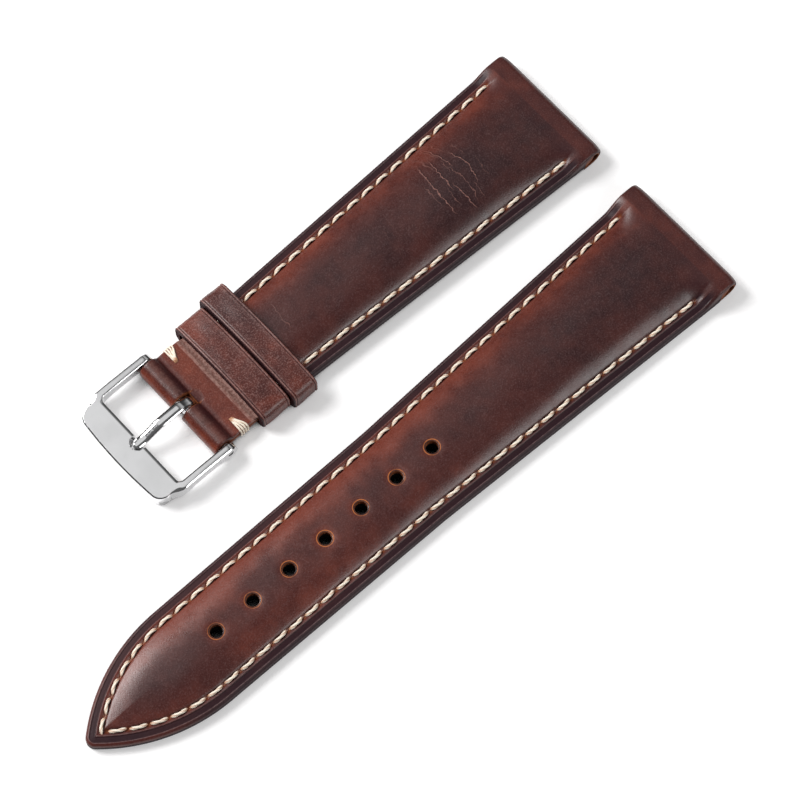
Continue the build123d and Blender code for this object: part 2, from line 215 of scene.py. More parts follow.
def grid_index(piece: Piece) -> np.ndarray:
    """Index in the starting grid of each vertex of a piece."""
    index = np.zeros(len(piece.data.vertices), np.int32)
    piece.data.attributes["grid_index"].data.foreach_get("value", index)
    return index


@dataclass
class Shell:
    """Closed wall between two matching grids of points, an outer and an inner face.

    Each grid has a row for each step across and a column for each step along. A mark is a pair of grids,
    one for either face, that a material reads by its name.
    """

    name: str
    outer: np.ndarray
    inner: np.ndarray
    marks: dict[str, tuple[np.ndarray, np.ndarray]] = field(default_factory=dict)
    gap: np.ndarray | None = None
    crease_angle: float = 50.0

    def build(self) -> Piece:
        """Shape a grid into the outer face, thicken it and lay its back on the inner face.

        Returns:
            The finished piece, with its faces pointing outwards.
        """
        rows, columns = self.outer.shape[:2]
        deselect()
        bpy.ops.mesh.primitive_grid_add(x_subdivisions=columns - 1, y_subdivisions=rows - 1, size=1)
        piece = bpy.context.object
        piece.name = self.name
        start = read_points(piece) * MM + 0.5
        column = np.rint(start[:, 0] * (columns - 1)).astype(int)
        row = np.rint(start[:, 1] * (rows - 1)).astype(int)
        index = row * columns + column
        mark = piece.data.attributes.new("grid_index", "INT", "POINT")
        mark.data.foreach_set("value", index.astype(np.int32))
        write_points(piece, self.outer.reshape(-1, 3)[index])
        if self.gap is not None:
            self.cut_gap(piece, columns)
        weld(piece)
        count = len(piece.data.vertices)
        modify(piece, "SOLIDIFY", thickness=MM, offset=-1)
        index = grid_index(piece)
        places = self.outer.reshape(-1, 3)[index]
        places[count:] = self.inner.reshape(-1, 3)[index[count:]]
        write_points(piece, places)
        for name, (front, back) in self.marks.items():
            values = front.ravel()[index]
            values[count:] = back.ravel()[index[count:]]
            write_mark(piece, name, values)
        piece.data.attributes.remove(piece.data.attributes["grid_index"])
        weld(piece)
        face_outwards(piece)
        soften(piece, self.crease_angle)
        return piece

    def cut_gap(self, piece: Piece, columns: int) -> None:
        """Delete the faces of the grid whose corners all lie in the gap."""
        index = grid_index(piece)
        inside = self.gap.ravel()[index]
        activate(piece)
        for polygon in piece.data.polygons:
            polygon.select = bool(all(inside[vertex] for vertex in polygon.vertices))
        bpy.ops.object.mode_set(mode="EDIT")
        bpy.ops.mesh.select_mode(type="FACE")
        bpy.ops.mesh.delete(type="FACE")
        bpy.ops.mesh.select_mode(type="VERT")
        bpy.ops.object.mode_set(mode="OBJECT")


def join_pieces(pieces: list[Piece], name: str) -> Piece:
    """Join pieces into one under a name.

    Args:
        pieces: The pieces, of which the first takes in the rest.
        name: Name of the joined piece.

    Returns:
        The joined piece.
    """
    deselect()
    for piece in pieces:
        piece.select_set(True)
    bpy.context.view_layer.objects.active = pieces[0]
    bpy.ops.object.join()
    joined = bpy.context.object
    joined.name = name
    return joined


def circle(centre: tuple[float, float], radius: float, turn: np.ndarray) -> np.ndarray:
    """Points on a circle in a plane, at some angles in radians."""
    return np.stack([centre[0] + radius * np.cos(turn), centre[1] + radius * np.sin(turn)], 1)


def round_drop(depth: np.ndarray, radius: float) -> np.ndarray:
    """How far a rounded edge of some radius lies below its face, at a distance from the edge."""
    reach = np.clip(1 - np.asarray(depth, float) / radius, 0, 1)
    return radius * (1 - np.sqrt(1 - reach**2))


def linear(code: str) -> tuple[float, float, float, float]:
    """Turn an sRGB hex value into the linear colour that a shader socket takes."""
    shares = [int(code[i : i + 2], 16) / 255 for i in (1, 3, 5)]
    return (*[s / 12.92 if s <= 0.04045 else ((s + 0.055) / 1.055) ** 2.4 for s in shares], 1.0)


def add_node(tree: Tree, kind: str, inputs: dict | None = None, **settings: object) -> bpy.types.Node:
    """Add a node to a tree with its settings and links.

    Args:
        tree: The tree of a material or world.
        kind: Blender's identifier of the node.
        inputs: Values of the node's inputs, or the node and output that feed them.
        settings: Properties of the node.

    Returns:
        The node.
    """
    node = tree.nodes.new(kind)
    for name, value in settings.items():
        setattr(node, name, value)
    for name, value in (inputs or {}).items():
        if isinstance(value, tuple) and isinstance(value[0], bpy.types.Node):
            tree.links.new(value[0].outputs[value[1]], node.inputs[name])
        else:
            node.inputs[name].default_value = value
    return node


def maths(tree: Tree, kind: str, *values: float | Link) -> Link:
    """Arithmetic on numbers or node outputs, as the output of one node."""
    return (add_node(tree, "ShaderNodeMath", dict(enumerate(values)), operation=kind), "Value")


def blend_colours(tree: Tree, share: float | Link, first: Link | str, second: Link | str) -> Link:
    """Mix two colours, given as outputs or as sRGB hex values, by a share."""
    colours = [linear(c) if isinstance(c, str) else c for c in (first, second)]
    node = add_node(tree, "ShaderNodeMix", {0: share, 6: colours[0], 7: colours[1]}, data_type="RGBA")
    return (node, 2)


def spread(tree: Tree, value: Link, low: float, high: float, to: tuple[float, float] = (0, 1)) -> Link:
    """Map the stretch from low to high onto another stretch, clamped, with eased ends."""
    inputs = {"Value": value, "From Min": low, "From Max": high, "To Min": to[0], "To Max": to[1]}
    return (add_node(tree, "ShaderNodeMapRange", inputs, interpolation_type="SMOOTHSTEP"), "Result")


def attribute(tree: Tree, name: str) -> Link:
    """A piece's mark, read by its name."""
    return (add_node(tree, "ShaderNodeAttribute", attribute_name=name), "Fac")


def cell(size: float) -> float:
    """Scale of a noise or cell pattern whose grains are about some millimetres wide."""
    return 1 / (size * MM)


def new_material(name: str) -> tuple[Material, Tree, Link]:
    """An empty node material, with its tree and the piece's own coordinates."""
    material = bpy.data.materials.new(name)
    material.use_nodes = True
    tree = material.node_tree
    tree.nodes.clear()
    return material, tree, (add_node(tree, "ShaderNodeTexCoord"), "Object")


def close_material(tree: Tree, shader: bpy.types.Node) -> None:
    """Link the finished shader to the material's output."""
    add_node(tree, "ShaderNodeOutputMaterial", {"Surface": (shader, 0)})


def cover(tree: Tree, height: Link, strength: float, depth: float, inputs: dict) -> None:
    """Finish a material with a shader that has a fine relief.

    Args:
        tree: The material's tree.
        height: Output that the relief follows.
        strength: How strongly it shows.
        depth: How deep it goes, in millimetres.
        inputs: Values of the shader's other inputs, or what feeds them.
    """
    relief = add_node(
        tree, "ShaderNodeBump", {"Height": height, "Strength": strength, "Distance": depth * MM}
    )
    inputs = {**inputs, "Normal": (relief, "Normal")}
    close_material(tree, add_node(tree, "ShaderNodeBsdfPrincipled", inputs))


@dataclass(frozen=True)
class Crease:
    """Fine wrinkle that runs roughly across the strap, with x as a curve over y.

    Sizes are in millimetres: its middle, half its length, how much x changes per millimetre of y, how
    much that bends, and how strongly it shows.
    """

    x: float
    y: float
    half: float
    lean: float = 0.0
    bend: float = 0.0
    strength: float = 1.0


@dataclass(frozen=True)
class WaxedLeather:
    """Oxblood calf with a wax pull-up finish: dark where it lies flat, redder where it is stretched.

    It reads five marks: tone is how far the wax has been pulled, and painted light where a side faces the
    lamp; ink is edge paint, and painted shade in grooves, bores and folds; raw is how bare the cut is; needle
    is where the awl has opened the surface; skive is where it is pared down, and painted highlights on the
    lips of creases and the crest of the fold.
    """

    name: str = "waxed_oxblood_calf"
    deep: str = "#2f1b1d"
    body: str = "#4b2420"
    pulled: str = "#77382a"
    painted: str = "#22121a"
    cut: str = "#9a5629"
    awl: str = "#8a4a1e"
    crease: str = "#b98478"
    shadow: str = "#200f0f"
    # Pale colour of flecks and nap, also used for painted highlights.
    split: str = "#8a7271"
    rim: str = "#c0703a"
    mottle_size: float = 8.0
    cloud_size: float = 1.9
    speck_size: float = 0.34
    grain_size: float = 0.2
    contrast: float = 0.5
    gloss: float = 0.3
    relief: float = 0.16
    fleck: float = 0.13
    creases: tuple[Crease, ...] = ()
    holes: tuple[float, float, float, int] | None = None
    rim_radius: float = 1.25
    # Radii over which the painted shade inside each size hole fades out.
    hole_shade_radii: tuple[float, float] = (1.16, 1.24)

    def build(self) -> Material:
        """Build the material's nodes and return it."""
        material, tree, place = new_material(self.name)
        patterns = []
        sizes = (self.mottle_size, self.cloud_size, self.speck_size, self.grain_size)
        for size, detail in zip(sizes, (3, 5, 2, 2)):
            inputs = {"Vector": place, "Scale": cell(size), "Detail": detail}
            patterns.append((add_node(tree, "ShaderNodeTexNoise", inputs), "Fac"))
        mottle, cloud, speck, grain = patterns
        tone = maths(tree, "ADD", attribute(tree, "tone"), 0.95)
        for pattern, amount in ((mottle, 0.9), (cloud, self.contrast)):
            tone = maths(tree, "MULTIPLY_ADD", maths(tree, "SUBTRACT", pattern, 0.5), amount, tone)
        line, shade = self.wrinkles(tree, place)
        colour = blend_colours(tree, spread(tree, tone, 0.55, 1.25), self.deep, self.body)
        colour = blend_colours(tree, spread(tree, tone, 1.1, 1.85), colour, self.pulled)
        pale = spread(tree, grain, 0.5, 0.66, (0.0, self.fleck))
        colour = blend_colours(tree, pale, colour, self.split)
        dark = spread(tree, grain, 0.36, 0.5, (1.5 * self.fleck, 0.0))
        colour = blend_colours(tree, dark, colour, self.shadow)
        colour = blend_colours(tree, maths(tree, "MULTIPLY", shade, 0.6), colour, self.shadow)
        colour = blend_colours(tree, maths(tree, "MULTIPLY", line, 0.5), colour, self.crease)
        for mark, tint in (("ink", self.painted), ("raw", self.cut), ("needle", self.awl)):
            colour = blend_colours(tree, attribute(tree, mark), colour, tint)
        if self.holes:
            bright, dark = self.rims_and_hole_shade(tree, place)
            # Painted shade just inside each size hole.
            colour = blend_colours(tree, maths(tree, "MULTIPLY", dark, 0.6), colour, self.shadow)
            patchy = spread(tree, cloud, 0.35, 0.6, (0.25, 0.85))
            colour = blend_colours(tree, maths(tree, "MULTIPLY", bright, patchy), colour, self.rim)
        # Pale nap where the leather is pared down, and painted highlight on crease lips and the fold's crest.
        nap = maths(tree, "MULTIPLY", attribute(tree, "skive"), spread(tree, speck, 0.36, 0.64, (0.45, 1.0)))
        colour = blend_colours(tree, nap, colour, self.split)
        dull = maths(tree, "MULTIPLY_ADD", cloud, 0.2, self.gloss - 0.1)
        dull = maths(tree, "MULTIPLY_ADD", speck, 0.16, maths(tree, "SUBTRACT", dull, 0.08))
        dull = maths(tree, "MULTIPLY_ADD", maths(tree, "ADD", attribute(tree, "raw"), nap), 0.4, dull)
        dull = maths(tree, "MULTIPLY_ADD", attribute(tree, "ink"), 0.17, dull)
        height = maths(tree, "MULTIPLY_ADD", line, 0.8, grain)
        glancing = (add_node(tree, "ShaderNodeLayerWeight", {"Blend": 0.5}), "Facing")
        shine = maths(tree, "SUBTRACT", 0.5, spread(tree, glancing, 0.6, 0.92, (0.0, 0.5)))
        shine = maths(tree, "MULTIPLY_ADD", attribute(tree, "ink"), -0.32, shine)
        shine = maths(tree, "MAXIMUM", shine, 0.01)
        inputs = {"Base Color": colour, "Roughness": dull, "IOR": 1.46, "Specular IOR Level": shine}
        cover(tree, height, self.relief, 0.1, inputs)
        return material

    def rims_and_hole_shade(self, tree: Tree, place: Link) -> tuple[Link, Link]:
        """Rim that the punch left round each size hole: a bright line, with painted shade inside it.

        Args:
            tree: The material's tree.
            place: The piece's own coordinates.

        Returns:
            The outputs that are 1 on the bright line and 1 on the painted shade.
        """
        first, middle, pitch, count = self.holes
        split = add_node(tree, "ShaderNodeSeparateXYZ", {0: place})
        behind = maths(tree, "SUBTRACT", first * MM, (split, "X"))
        nearest = maths(tree, "ROUND", maths(tree, "DIVIDE", behind, pitch * MM))
        nearest = maths(tree, "MINIMUM", maths(tree, "MAXIMUM", nearest, 0.0), count - 1.0)
        along = maths(tree, "MULTIPLY_ADD", nearest, -pitch * MM, behind)
        across = maths(tree, "SUBTRACT", (split, "Y"), middle * MM)
        squares = maths(tree, "MULTIPLY_ADD", along, along, maths(tree, "MULTIPLY", across, across))
        reach = maths(tree, "SQRT", squares)
        line = maths(tree, "ABSOLUTE", maths(tree, "SUBTRACT", reach, self.rim_radius * MM))
        bright = spread(tree, line, 0.03 * MM, 0.1 * MM, (1, 0))
        start, stop = self.hole_shade_radii
        return bright, spread(tree, reach, start * MM, stop * MM, (1, 0))

    def wrinkles(self, tree: Tree, place: Link) -> tuple[Link | float, Link | float]:
        """Fine wrinkles where the strap has been bent, each with a shaded side.

        Args:
            tree: The material's tree.
            place: The piece's own coordinates.

        Returns:
            The outputs that are 1 on a wrinkle and 1 on its shaded side, or 0 where there is none.
        """
        sway = add_node(tree, "ShaderNodeTexNoise", {"Vector": place, "Scale": cell(0.9), "Detail": 3})
        split = add_node(tree, "ShaderNodeSeparateXYZ", {0: place})
        x = maths(tree, "SUBTRACT", (split, "X"), 0.55 * MM)
        x = maths(tree, "MULTIPLY_ADD", (sway, "Fac"), 1.1 * MM, x)
        line = shade = 0.0
        for crease in self.creases:
            ahead = maths(tree, "SUBTRACT", (split, "Y"), crease.y * MM)
            curve = maths(tree, "MULTIPLY_ADD", ahead, crease.bend / MM, crease.lean)
            away = maths(tree, "SUBTRACT", x, maths(tree, "MULTIPLY_ADD", ahead, curve, crease.x * MM))
            reach = maths(tree, "ABSOLUTE", ahead)
            length = spread(tree, reach, 0.55 * crease.half * MM, crease.half * MM, (1, 0))
            shown = maths(tree, "MULTIPLY", length, crease.strength)
            thin = spread(tree, maths(tree, "ABSOLUTE", away), 0.01 * MM, 0.08 * MM, (1, 0))
            beside = maths(tree, "ABSOLUTE", maths(tree, "SUBTRACT", away, 0.15 * MM))
            wide = spread(tree, beside, 0.03 * MM, 0.14 * MM, (1, 0))
            line = maths(tree, "MAXIMUM", line, maths(tree, "MULTIPLY", thin, shown))
            shade = maths(tree, "MAXIMUM", shade, maths(tree, "MULTIPLY", wide, shown))
        return line, shade


@dataclass(frozen=True)
class SplitLeather:
    """Undyed or lining leather, buffed flat: matt, with a short nap that shows as soft clouds."""

    name: str
    light: str
    dark: str
    nap_size: float = 0.35
    gloss: float = 0.72
    painted: str = "#22141a"
    dark_below: float | None = None

    def build(self) -> Material:
        """Build the material's nodes and return it."""
        material, tree, place = new_material(self.name)
        cloud, nap = (
            add_node(tree, "ShaderNodeTexNoise", {"Vector": place, "Scale": cell(size), "Detail": 5})
            for size in (3.5, self.nap_size)
        )
        share = maths(tree, "MULTIPLY_ADD", (nap, "Fac"), 0.6, (cloud, "Fac"))
        colour = blend_colours(tree, spread(tree, share, 0.5, 1.1), self.dark, self.light)
        # Painted shade: below a height the face goes dark, deep in the size holes.
        if self.dark_below:
            height = (add_node(tree, "ShaderNodeSeparateXYZ", {0: place}), "Z")
            deep_shade = spread(tree, height, (self.dark_below - 0.5) * MM, self.dark_below * MM, (1, 0))
            colour = blend_colours(tree, deep_shade, colour, self.painted)
        colour = blend_colours(tree, attribute(tree, "ink"), colour, self.painted)
        cover(tree, (nap, "Fac"), 0.35, 0.1, {"Base Color": colour, "Roughness": self.gloss})
        return material


@dataclass(frozen=True)
class WaxedThread:
    """Off-white waxed polyester thread of two plies, with painted shade where its hollow mark lies."""

    name: str = "waxed_thread"
    light: str = "#f9eddb"
    shade: str = "#bd8a66"

    def build(self) -> Material:
        """Build the material's nodes and return it."""
        material, tree, place = new_material(self.name)
        fibre = add_node(tree, "ShaderNodeTexNoise", {"Vector": place, "Scale": cell(0.3), "Detail": 4})
        hollow = attribute(tree, "hollow")
        share = maths(tree, "MULTIPLY_ADD", (fibre, "Fac"), 0.35, hollow)
        colour = blend_colours(tree, spread(tree, share, 0.15, 1.1), self.light, self.shade)
        inputs = {"Base Color": colour, "Roughness": 0.55, "Sheen Weight": 0.2}
        cover(tree, (fibre, "Fac"), 0.3, 0.05, inputs)
        return material


@dataclass(frozen=True)
class Steel:
    """Stainless steel: polished to a mirror on the buckle, turned and duller on the spring bar."""

    name: str
    colour: str = "#e6e6e7"
    gloss: float = 0.08
    streak_size: float = 0.25

    def build(self) -> Material:
        """Build the material's nodes and return it."""
        material, tree, place = new_material(self.name)
        stretch = add_node(tree, "ShaderNodeMapping", {"Vector": place, "Scale": (1, 0.06, 1)})
        inputs = {"Vector": (stretch, "Vector"), "Scale": cell(self.streak_size), "Detail": 4}
        streaks = add_node(tree, "ShaderNodeTexNoise", inputs)
        haze = add_node(tree, "ShaderNodeTexNoise", {"Vector": place, "Scale": cell(4.0), "Detail": 3})
        dull = maths(tree, "MULTIPLY_ADD", (streaks, "Fac"), 0.05, self.gloss - 0.03)
        dull = maths(tree, "MULTIPLY_ADD", (haze, "Fac"), 0.03, dull)
        colour = blend_colours(tree, spread(tree, (haze, "Fac"), 0.3, 0.7), self.colour, "#dededf")
        inputs = {"Base Color": colour, "Metallic": 1.0, "Roughness": dull}
        cover(tree, (streaks, "Fac"), 0.02, 0.02, inputs)
        return material


@dataclass
class Finishes:
    """One of each finish, built once and shared by the pieces."""

    leather: Material
    band: Material
    tail: Material
    lining: Material
    padding: Material
    raw: Material
    thread: Material
    steel: Material
    turned: Material


def dress(piece: Piece, material: Material, slot: Slot, body: str, *nodes: str) -> None:
    """Give a piece its finish, hide the CAD nodes that it replaces and hang it on its body.

    Args:
        piece: The finished piece.
        material: Its main material, first in its slots.
        slot: The record's slot that the finish follows; not used.
        body: The body that the piece rides on.
        nodes: The CAD nodes that it replaces.
    """
    if piece.data.materials:
        piece.data.materials[0] = material
    else:
        piece.data.materials.append(material)
    if nodes:
        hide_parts(*nodes)
    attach(piece, body)
    log.info("%s: %d faces, rides on %s", piece.name, len(piece.data.polygons), body)


@dataclass
class StrapForm:
    """Sizes that both pieces of the strap share, as cut by the maker."""

    lug_straight: float = 4.6
    waist_place: float = 57.6
    waist_half: float = 9.0
    lining: float = 0.9
    top: float = 1.0
    padded_inset: float = 3.0
    shoulder_rise: float = 0.75
    shoulder_start: float = 2.45
    shoulder_wide: float = 3.6
    stitch_inset: float = 2.2
    stitch_pitch: float = 3.05
    stitch_length: float = 2.35
    seam_start: float = 5.6
    groove_depth: float = 0.24
    groove_width: float = 0.32
    band_start: float = 0.55
    band_end: float = 1.4
    band_depth: float = 0.12
    edge_radius: float = 0.5
    loop_radius: float = 1.8
    bore_radius: float = 1.0
    loop_length: float = 3.6
    ramp_end: float = 7.2
    padding_wall: float = 0.6
    column_step: float = 0.32

    @property
    def border(self) -> float:
        """Thickness of the border outside the padding."""
        return self.lining + self.top

    def insets(self) -> np.ndarray:
        """Distances from the edge at which the rows of the border lie, closer where it is shaped."""
        lip = np.array([-0.1, -0.05, 0, 0.05, 0.1])
        edge = np.array([0, 0.03, 0.08, 0.15, 0.24, 0.34])
        band = np.linspace(self.band_start + 0.2, self.band_end - 0.2, 3)
        shoulder = np.linspace(self.band_end + 0.2, 5.0, 30)
        return np.concatenate([edge, self.band_start + lip, band, self.band_end + lip, shoulder])

    @staticmethod
    def loop_drop(inset: np.ndarray) -> np.ndarray:
        """How far the turned-over end lies below its full radius, at a distance from the edge."""
        return round_drop(inset, 0.3) + 0.24 * np.clip(1 - inset / 1.9, 0, 1) ** 2

    def band(self, inset: np.ndarray) -> np.ndarray:
        """Share of the pressed band's depth at a distance from the edge."""
        return smooth_step(inset, self.band_start - 0.07, self.band_start + 0.07) * smooth_step(
            inset, self.band_end + 0.07, self.band_end - 0.07
        )


# Patches that the wax has been pulled from or lies thick on, each as its strength, place along the
# strap, length, sideways place and width
SHORT_PATCHES = ((-0.22, 12, 12, 0, 7), (0.12, 21, 5, 4.5, 3))
LONG_PATCHES = (
    (-0.22, 12, 12, 0, 7), (0.12, 72, 14, -4.5, 3), (0.06, 60, 20, 4.5, 3), (-0.25, 104, 11, 0, 3.5)
)


@dataclass
class PaddedPiece:
    """One of the strap's two pieces: top leather turned over at the lug end, padding and lining."""

    form: StrapForm
    name: str
    body: str
    lug_x: float
    lug_half: float
    centre_y: float
    underside: float
    end_place: float
    end_half: float
    stations: list[tuple[float, float]]
    tip_start: float | None = None
    tip_half: float = 8.65
    nose_radius: float = 1.4
    hole_places: list[float] = field(default_factory=list)
    hole_radius: float = 1.0
    hole_rim: tuple[float, float] = (0.12, 1.18)
    hole_mouth: tuple[float, float] = (0.6, 1.06)
    middle_rows: int = 15

    def half_width(self, place: np.ndarray | float) -> np.ndarray:
        """Half the width of the piece at a place, up to where the tip starts."""
        form = self.form
        end = self.tip_start or self.end_place
        half = self.tip_half if self.tip_start else self.end_half
        places = [0, form.lug_straight, form.waist_place, end]
        return np.interp(place, places, [self.lug_half, self.lug_half, form.waist_half, half])

    def straight_columns(self) -> tuple[np.ndarray, np.ndarray, np.ndarray]:
        """Edge points, inward directions and depths to the centre line, down the straight sides."""
        form = self.form
        end = self.tip_start or self.end_place
        places = np.linspace(form.loop_length, end, int((end - form.loop_length) / form.column_step))
        halves = self.half_width(places)
        slopes = (self.half_width(places + 1) - self.half_width(places - 1)) / 2
        slopes[places < form.lug_straight + 1] = 0
        if self.tip_start is None:
            slopes[-8:] = 0
        inward = np.stack([slopes, -np.ones_like(slopes)], 1) / np.sqrt(1 + slopes**2)[:, None]
        return np.stack([places, halves], 1), inward, halves / -inward[:, 1]

    def tip_columns(self) -> tuple[np.ndarray, np.ndarray, np.ndarray]:
        """The same for the pointed tip: an arc on each side and a small rounded nose."""
        radius = self.tip_radius
        below = radius - self.tip_half
        nose_place = self.tip_start + math.sqrt((radius - self.nose_radius) ** 2 - below**2)
        stop = math.atan2(nose_place - self.tip_start, below)
        turn = np.linspace(0, stop, int(radius * stop / self.form.column_step))[1:]
        outward = np.stack([np.sin(turn), np.cos(turn)], 1)
        edge = np.array([self.tip_start, -below]) + radius * outward
        depth = radius - below / np.cos(turn)
        depth[-1] = self.nose_radius
        nose_turn = np.linspace(stop, math.pi / 2, 10)[1:]
        nose_out = np.stack([np.sin(nose_turn), np.cos(nose_turn)], 1)
        nose = np.array([nose_place, 0]) + self.nose_radius * nose_out
        depths = np.concatenate([depth, np.full(len(nose), self.nose_radius)])
        return np.concatenate([edge, nose]), -np.concatenate([outward, nose_out]), depths

    def edge_columns(self) -> tuple[np.ndarray, ...]:
        """The same for the whole piece, from the loop to its far end."""
        columns = self.straight_columns()
        if self.tip_start:
            columns = tuple(np.concatenate(part) for part in zip(columns, self.tip_columns()))
        return columns

    def flat_grid(self, start_inset: float) -> tuple[np.ndarray, np.ndarray, np.ndarray]:
        """Places, sideways distances and insets of a grid over the flat of the piece.

        Args:
            start_inset: Inset of the outermost rows.

        Returns:
            Three grids, with a row for each step from the +Y edge to the -Y edge.
        """
        edge, inward, depth = self.edge_columns()
        insets = self.form.insets()
        insets = np.concatenate([[start_inset], insets[insets > start_inset + 0.05]])
        last = insets[-1]
        outer_rows = np.minimum(insets[:, None], depth[None, :])
        first = np.minimum(last, depth)
        shares = np.linspace(0, 1, self.middle_rows + 1)[1:]
        inner_rows = first[None, :] + (depth - first)[None, :] * shares[:, None]
        inset = np.concatenate([outer_rows, inner_rows])
        points = edge[None] + inward[None] * inset[..., None]
        place, off = points[..., 0], np.maximum(points[..., 1], 0)
        place = np.concatenate([place, place[-2::-1]])
        off = np.concatenate([off, -off[-2::-1]])
        return place, off, np.concatenate([inset, inset[-2::-1]])

    def needle_holes(self) -> np.ndarray:
        """Places and sideways distances of the needle holes, either side of each stitch."""
        form = self.form
        path, length = self.seam_path()
        count = self.stitch_count(length)
        margin = (form.stitch_pitch - form.stitch_length) / 2
        steps = np.arange(count + 1) * form.stitch_pitch - margin
        steps[0] = 0
        return np.stack([np.interp(steps, length, path[:, i]) for i in (0, 1)], 1)

    def stitch_count(self, length: np.ndarray) -> int:
        """Number of stitches in one row, from the lengths along its path."""
        return int((length[-1] - self.form.stitch_length) / self.form.stitch_pitch) + 1

    def seam_path(self) -> tuple[np.ndarray, np.ndarray]:
        """Points along the seam, down the +Y side and, on a pointed piece, round the tip and back.

        Returns:
            The points as place and sideways distance, and the length of the path up to each.
        """
        form = self.form
        edge, inward, depth = self.edge_columns()
        keep = depth > form.stitch_inset
        path = (edge + inward * form.stitch_inset)[keep]
        path = path[path[:, 0] > form.seam_start]
        if self.tip_start:
            path = np.concatenate([path, (path * [1, -1])[::-1]])
        steps = np.hypot(*np.diff(path, axis=0).T)
        return path, np.concatenate([[0], np.cumsum(steps)])

    def all_needle_holes(self) -> np.ndarray:
        """Needle holes of every row of stitches on the piece."""
        holes = self.needle_holes()
        return holes if self.tip_start else np.concatenate([holes, holes * [1, -1]])

    def needle_mark(self, place: np.ndarray, off: np.ndarray) -> np.ndarray:
        """How near each point lies to a needle hole, from 0 to 1."""
        mark = np.zeros_like(place)
        for hole_place, hole_off in self.all_needle_holes():
            near = (place - hole_place) ** 2 + (off - hole_off) ** 2
            mark = np.maximum(mark, np.exp(-near / 0.27**2))
        return mark

    def thickness(self, place: np.ndarray) -> np.ndarray:
        """Full thickness of the piece on its centre line."""
        return smooth_between(place, self.stations)

    def far_inset(self, place: np.ndarray, off: np.ndarray) -> np.ndarray:
        """Distance of each point from the edge on the other side of the centre line."""
        far = self.half_width(place) + np.abs(off)
        if self.tip_start is None:
            return far
        below = self.tip_radius - self.tip_half
        ahead = np.maximum(place - self.tip_start, 0)
        return np.where(place > self.tip_start, self.tip_radius - np.hypot(ahead, below - np.abs(off)), far)

    @property
    def tip_radius(self) -> float:
        """Radius of the arcs that form the pointed tip."""
        reach = self.end_place + self.nose_radius * (math.sqrt(2) - 1) - self.tip_start
        return (reach**2 + self.tip_half**2) / (2 * self.tip_half)

    def top_height(self, place: np.ndarray, off: np.ndarray, inset: np.ndarray) -> np.ndarray:
        """Height of the top leather's upper face.

        Args:
            place: Distance from the lug end.
            off: Distance from the centre line.
            inset: Distance from the edge of the piece.

        Returns:
            The height above the floor at each point.
        """
        form = self.form
        tip = smooth_step(place, 70, 112)
        rise = form.shoulder_rise * (1 - 0.35 * tip)
        near, far = inset - form.shoulder_start, self.far_inset(place, off) - form.shoulder_start
        reach = self.half_width(place) - form.shoulder_start
        dome = np.clip(near, 0, None) * np.clip(far, 0, None) / reach**2
        lift = 1 - (1 - np.clip(near / (form.shoulder_wide + 1.6 * tip), 0, 1)) ** 2.1
        swell = self.thickness(place) - form.border - rise
        height = self.underside + form.border + rise * lift + swell * dome
        groove = form.groove_depth * bump(inset, form.stitch_inset, form.groove_width)
        height -= groove * smooth_step(place, 4.9, 6.2)
        lips = 0.035 * (bump(inset, form.band_start - 0.12, 0.09) + bump(inset, form.band_end + 0.12, 0.09))
        height += (lips - form.band_depth * form.band(inset)) * smooth_step(place, 4.2, 6.2)
        height -= 0.1 * smooth_step(inset, form.band_end, 0)
        height -= round_drop(inset, form.edge_radius) + 0.16 * self.needle_mark(place, off)
        height += 0.05 * np.sin(place * 0.31 + off * 0.2) * np.sin(off * 0.45 + place * 0.11) * lift
        for hole in self.hole_places:
            height -= 0.1 * bump(np.hypot(place - hole, off), self.hole_radius, 0.5)
        loop_top = 2 * form.loop_radius - form.loop_drop(inset)
        ease = smooth_step(place, form.loop_length - 0.4, form.ramp_end + 1.6 * lift)
        return loop_top + (height - loop_top) * ease

    def flat_face(self, height: np.ndarray | float, grid: tuple) -> np.ndarray:
        """Points of a face over the flat grid, in the part's frame."""
        place, off, _ = grid
        return np.stack([self.lug_x - place, self.centre_y + off, np.broadcast_to(height, place.shape)], -1)

    def loop_columns(self, inset: np.ndarray) -> tuple[np.ndarray, np.ndarray]:
        """Outer and inner points of the loop that is turned over at the lug end, for the grid's rows.

        Args:
            inset: Inset of each row at the first column of the flat.

        Returns:
            Two grids whose columns run from the underside, round the nose, to the start of the flat.
        """
        form = self.form
        side = np.concatenate([np.ones(len(inset) // 2 + 1), -np.ones(len(inset) // 2)])
        off = side * (self.lug_half - inset)
        drop = form.loop_drop(inset)[:, None]
        under = np.linspace(form.loop_length, form.loop_radius, 7)[:-1]
        turn = np.radians(np.linspace(-90, 90, 26))
        over = np.linspace(form.loop_radius, form.loop_length, 8)[1:-1]
        centre = form.loop_radius
        outer_place = np.concatenate([under, centre - centre * np.cos(turn), over])
        outer_height = np.concatenate([0 * under, centre + centre * np.sin(turn), 0 * over + 2 * centre])
        lean = np.concatenate([0 * under, np.cos(turn), 0 * over])
        rise = np.concatenate([0 * under - 1, np.sin(turn), 0 * over + 1])
        bore = form.bore_radius
        closing = (over - centre) / (form.loop_length - centre)
        wall = centre - bore
        inner_place = np.concatenate([under, centre - bore * np.cos(turn), over])
        lower = wall + 0 * under
        upper = centre + bore - (2 * bore - 0.12) * np.sqrt(closing)
        inner_height = np.concatenate([lower, centre + bore * np.sin(turn), upper])
        y = self.centre_y + off[:, None]
        outer = (self.lug_x - (outer_place + drop * lean), y, outer_height - drop * rise)
        inner = (self.lug_x - inner_place, y, inner_height)
        return tuple(np.stack(np.broadcast_arrays(*face), -1) for face in (outer, inner))

